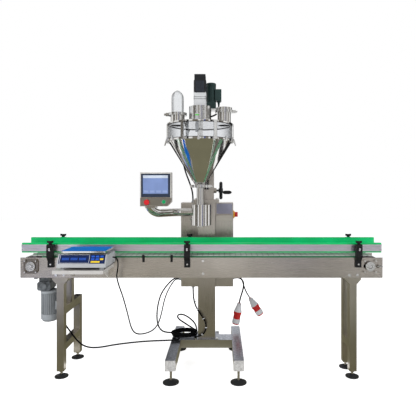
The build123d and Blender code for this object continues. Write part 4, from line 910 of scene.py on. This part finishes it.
def dome_pieces():
    """The clear dome with its shallow flats, and the small boss on the inlet cap."""
    low, high = corner("vent_dome")
    x, y = middle("vent_dome", 0, 1)
    foot, top, wall, flat_depth, steps = low[2], high[2], 2.2, 2.2, 16
    foot_radius = 42
    profile = [(52, foot), (52, foot + 4), (43.4, foot + 26), (43.4, top - 50), (40.5, top - 34),
               (33, top - 19), (20, top - 8), (5, top - 0.5)]
    shape = bmesh.new()
    shells = []
    for inset in (0.0, wall):
        rings = []
        for radius, z in profile:
            level = z - (inset if radius < foot_radius else 0.0)
            ring = []
            for step, (u, v) in enumerate(circle((0, 0), 1, steps, 180 / steps)):
                reach = max(radius - inset - (flat_depth if step % 2 else 0.0), 1.0)
                ring.append(shape.verts.new((x + reach * u, y + reach * v, level)))
            rings.append(ring)
        join_rings(shape, rings)
        shape.faces.new(rings[-1])
        shells.append(rings)
    join_rings(shape, [shells[0][0], shells[1][0]])
    make_piece("dust_dome", shape, dome_clear, "head", ["vent_dome"], edge=0)
    top = corner("inlet_cap")[1][2]
    boss = bmesh.new()
    add_turned(boss, rectangle(0.5, 9, top - 1, top - 0.2), *middle("inlet_cap", 0, 1), 32)
    make_piece("cap_boss", boss, satin_steel, "inlet_cap", edge=0)


def wheel_pieces():
    """The handwheel's thick moulded rim with finger hollows."""
    low, high = corner("handwheel")
    centre_y, centre_z = middle("handwheel", 1, 2)
    inset, hollow_depth, hollows = 9.5, 0.6, 12
    reach = (high[2] - low[2]) / 2 - inset
    rim = bmesh.new()
    rings = []
    for across, up in circle((0, 0), 1, 96):
        wave = hollow_depth * math.cos(hollows * math.atan2(up, across))
        ring = []
        for outward, sideways in circle((0, 0), 1, 12):
            radius = reach + wave + 8 * outward
            ring.append(rim.verts.new((wheel_x + 9.6 * sideways, centre_y + radius * across,
                                       centre_z + radius * up)))
        rings.append(ring)
    join_rings(rim, rings, closed=True)
    make_piece("wheel_rim", rim, servo_black, "handwheel", edge=0)


def plug_pieces():
    """White collars, cord nuts and grip ridges on the two industrial plugs."""
    axis = (0, 0)
    for name, route, length in (("mains_plug", mains_cord_points, 172),
                                ("feeder_coupler", feeder_cord_points, 160)):
        low, high = length - 46, length - 9
        collar, nut, ridges = bmesh.new(), bmesh.new(), bmesh.new()
        add_turned(collar, [(26, low), (29.4, low + 2), (29.4, high), (26, high)], *axis, 48)
        all_around(collar, 24, axis, 29.4, (2, 3.2), (low + 4, high - 4))
        outline = [(9, 0.5), (13, 0.5), (16, 14), (24, 40), (28, 60), (31.6, 64), (31.6, 70), (26, 70)]
        add_turned(nut, outline, *axis, 48)
        all_around(nut, 16, axis, 17.6, (2.4, 2.6), (9, 24))
        all_around(ridges, 18, axis, 31, (1.6, 2.6), (72, 86))
        place = pointing(route[-2], route[-1], route[-1])
        for part, shape, material, slot, edge in (("collar", collar, white_plastic, "grey_plastic", 0.4),
                                                  ("cord_nut", nut, white_plastic, "grey_plastic", 0.3),
                                                  ("ridges", ridges, plug_red, "red_plastic", 0.3)):
            bmesh.ops.transform(shape, matrix=place, verts=shape.verts)
            make_piece(f"{name}_{part}", shape, material, "machine", edge=edge)


def drive_pieces():
    """The servo's ribbed sides, flange and screws, the gearbox's seams and the stirring motor's ribs."""
    low, high = corner("servo_motor")
    servo_x = middle("servo_motor", 0)[0]
    half = (high[0] - low[0]) / 2
    rib_count, rib_pitch, rib_half, rib_lift = 9, 6.5, 1.6, 1.2
    rib_z = (low[2] + 14, low[2] + 92)
    ribs = bmesh.new()
    for face in (-half, half):
        for index in range(rib_count):
            across = (index - (rib_count - 1) / 2) * rib_pitch
            add_block(ribs, span(servo_x + across, rib_half), span(line_y + face, rib_lift), rib_z)
            add_block(ribs, span(servo_x + face, rib_lift), span(line_y + across, rib_half), rib_z)
    # the ribs' lighter blue-grey is a painted highlight
    make_piece("servo_ribs", ribs, rib_blue_highlight, "head", edge=0.4)
    flange_top = low[2] + 9
    flange = block(span(servo_x, half + 0.8), span(line_y, half + 0.8), (low[2], flange_top))
    make_piece("servo_flange", flange, cast_silver, "head", edge=0.8)
    screws = bmesh.new()
    for x in span(servo_x, half - 7):
        for y in span(line_y, half - 7):
            add_rod(screws, "z", (x, y), (flange_top, flange_top + 6), 5, 12)
    make_piece("servo_screws", screws, bright_steel, "head", edge=0.4)
    low, high = corner("drive_gearbox")
    seam_half = (high[0] - low[0]) / 2 + 0.6
    seams = bmesh.new()
    for level in (high[2] - 22, high[2] - 36):
        add_block(seams, span(servo_x, seam_half), span(line_y, seam_half), (level, level + 2.4))
    make_piece("gearbox_seams", seams, dark_gap, "head", edge=0)
    low, high = corner("stirring_motor")
    x, y = low[0] + 36, line_y + 105
    cover = bmesh.new()
    for index in range(7):
        level = high[2] - 19 + index * 2.4
        add_turned(cover, rectangle(34, 36.4, level, level + 1.1), x, y, 64)
    all_around(cover, 14, (x, y), 33.6, (4, 2), (low[2] + 60, high[2] - 24))
    make_piece("stirring_motor_ribs", cover, motor_green, "head", edge=0.3)


# Cabinet and conveyor

def cabinet_pieces():
    """The bare plate with its rivets, and the relay box's lid."""
    low, high = corner("control_cabinet")
    box_front, face, top = low[1], low[1] + 42, high[2]
    plate = block((99, 224), (face - 3, face - 1.8), (top - 87, top - 6))
    make_piece("name_plate_blank", plate, bare_plate, "machine", edge=0.4)
    rivets = bmesh.new()
    for x in (104, 219):
        for z in (top - 82, top - 11):
            add_rod(rivets, "y", (x, z), (face - 4.2, face - 2.8), 2.6, 16)
    make_piece("plate_rivets", rivets, bright_steel, "machine", edge=0.3)
    lid = block((97, 222), (box_front - 1.5, box_front + 0.5), (top - 139, top - 97))
    make_piece("relay_box_lid", lid, lid_steel, "machine", edge=1.0)


def conveyor_pieces():
    """Bearing rings and bolts, the take-up threads and the rail brackets' screws."""
    drive_x, axis_z = middle("drive_shaft", 0, 2)
    idler_x = middle("idler_shaft", 0)[0]
    plate_y = corner("conveyor_plates")[0][1]
    right = corner("conveyor_plates")[1][0]
    face = corner("bearing_blocks")[0][1]
    rings, bolts = bmesh.new(), bmesh.new()
    hexagon, bolt_reach = 6, 38
    for x in (drive_x, idler_x):
        for inner, outer, reach in ((14, 20, 2.5), (29, 33, 2.0), (20, 29, 0.8)):
            add_flat_ring(rings, (x, axis_z), (inner, outer), (face - reach, face + 1))
        for bolt_x in span(x, bolt_reach):
            for bolt_z in span(axis_z, bolt_reach):
                add_rod(bolts, "y", (bolt_x, bolt_z), (face - 6, face + 1), 6, hexagon)
    make_piece("bearing_rings", rings, satin_steel, "machine", edge=0.4)
    make_piece("bearing_bolts", bolts, bright_steel, "machine", edge=0.5)
    thread = bmesh.new()
    place = (plate_y - 8, axis_z)
    turns, pitch = 26, 2.2
    for index in range(turns):
        x = idler_x + 52 + index * pitch
        if x < right - 4:
            add_rod(thread, "x", place, (x, x + 1.3), 5.4, 20)
    add_rod(thread, "x", place, (idler_x + 50, right - 3), 4.6, 20)
    make_piece("take_up_thread", thread, bright_steel, "machine", edge=0)
    screws = bmesh.new()
    bracket_front = corner("rail_brackets")[0][1]
    for x in bracket_xs:
        for z, front in ((786, plate_y - 16.5), (886, bracket_front - 2.5)):
            add_rod(screws, "y", (x, z), (front, plate_y - 10), 6, 20)
    make_piece("bracket_screws", screws, bright_steel, "machine", edge=0.5)


def knob_pieces():
    """Round hubs with two wings on the rail brackets' knobs."""
    low, high = corner("rail_brackets")
    rows = [(low[1] + bracket_depth / 2, front_rail_low), (high[1] - bracket_depth / 2, rear_rail_low)]
    hubs = bmesh.new()
    for x in bracket_xs:
        for y, rail_low in rows:
            top = rail_low + rail_height / 2 + bracket_above_rod
            outline = [(9, top + 0.5), (11, top + 2), (13.5, top + 14), (12, top + 22), (0.5, top + 24),
                       (0.5, top + 0.5)]
            add_turned(hubs, outline, x, y, 24)
            all_around(hubs, 2, (x, y), 14, (13, 15), (top + 10, top + 24))
    make_piece("knob_hubs", hubs, black_plastic, "machine", edge=2.0)


def cable_ties():
    """Small white ties on the panel's cable and on the rising part of the motor's cable."""
    radius, wall, half = 8, 3, 2.5
    places = [(panel_cable_points, index) for index in (3, 5, 7, 9, 11)]
    places += [(harness_points, index) for index in (4, 6, 8)]
    ties = bmesh.new()
    for route, index in places:
        first, second = Vector(route[index]), Vector(route[index + 1])
        made_before = len(ties.verts)
        add_turned(ties, rectangle(radius - wall, radius, -half, half), 0, 0, 20)
        add_block(ties, (radius - 1, radius + 4), (-half, half), (-half, half))
        ties.verts.ensure_lookup_table()
        place = pointing(first, second, (first + second) / 2)
        bmesh.ops.transform(ties, matrix=place, verts=ties.verts[made_before:])
    make_piece("cable_ties", ties, white_plastic, "machine", edge=0.4)


panel_pieces()
scale_pieces()
head_pieces()
dome_pieces()
wheel_pieces()
plug_pieces()
drive_pieces()
cabinet_pieces()
conveyor_pieces()
cable_ties()
knob_pieces()
panel_trim()
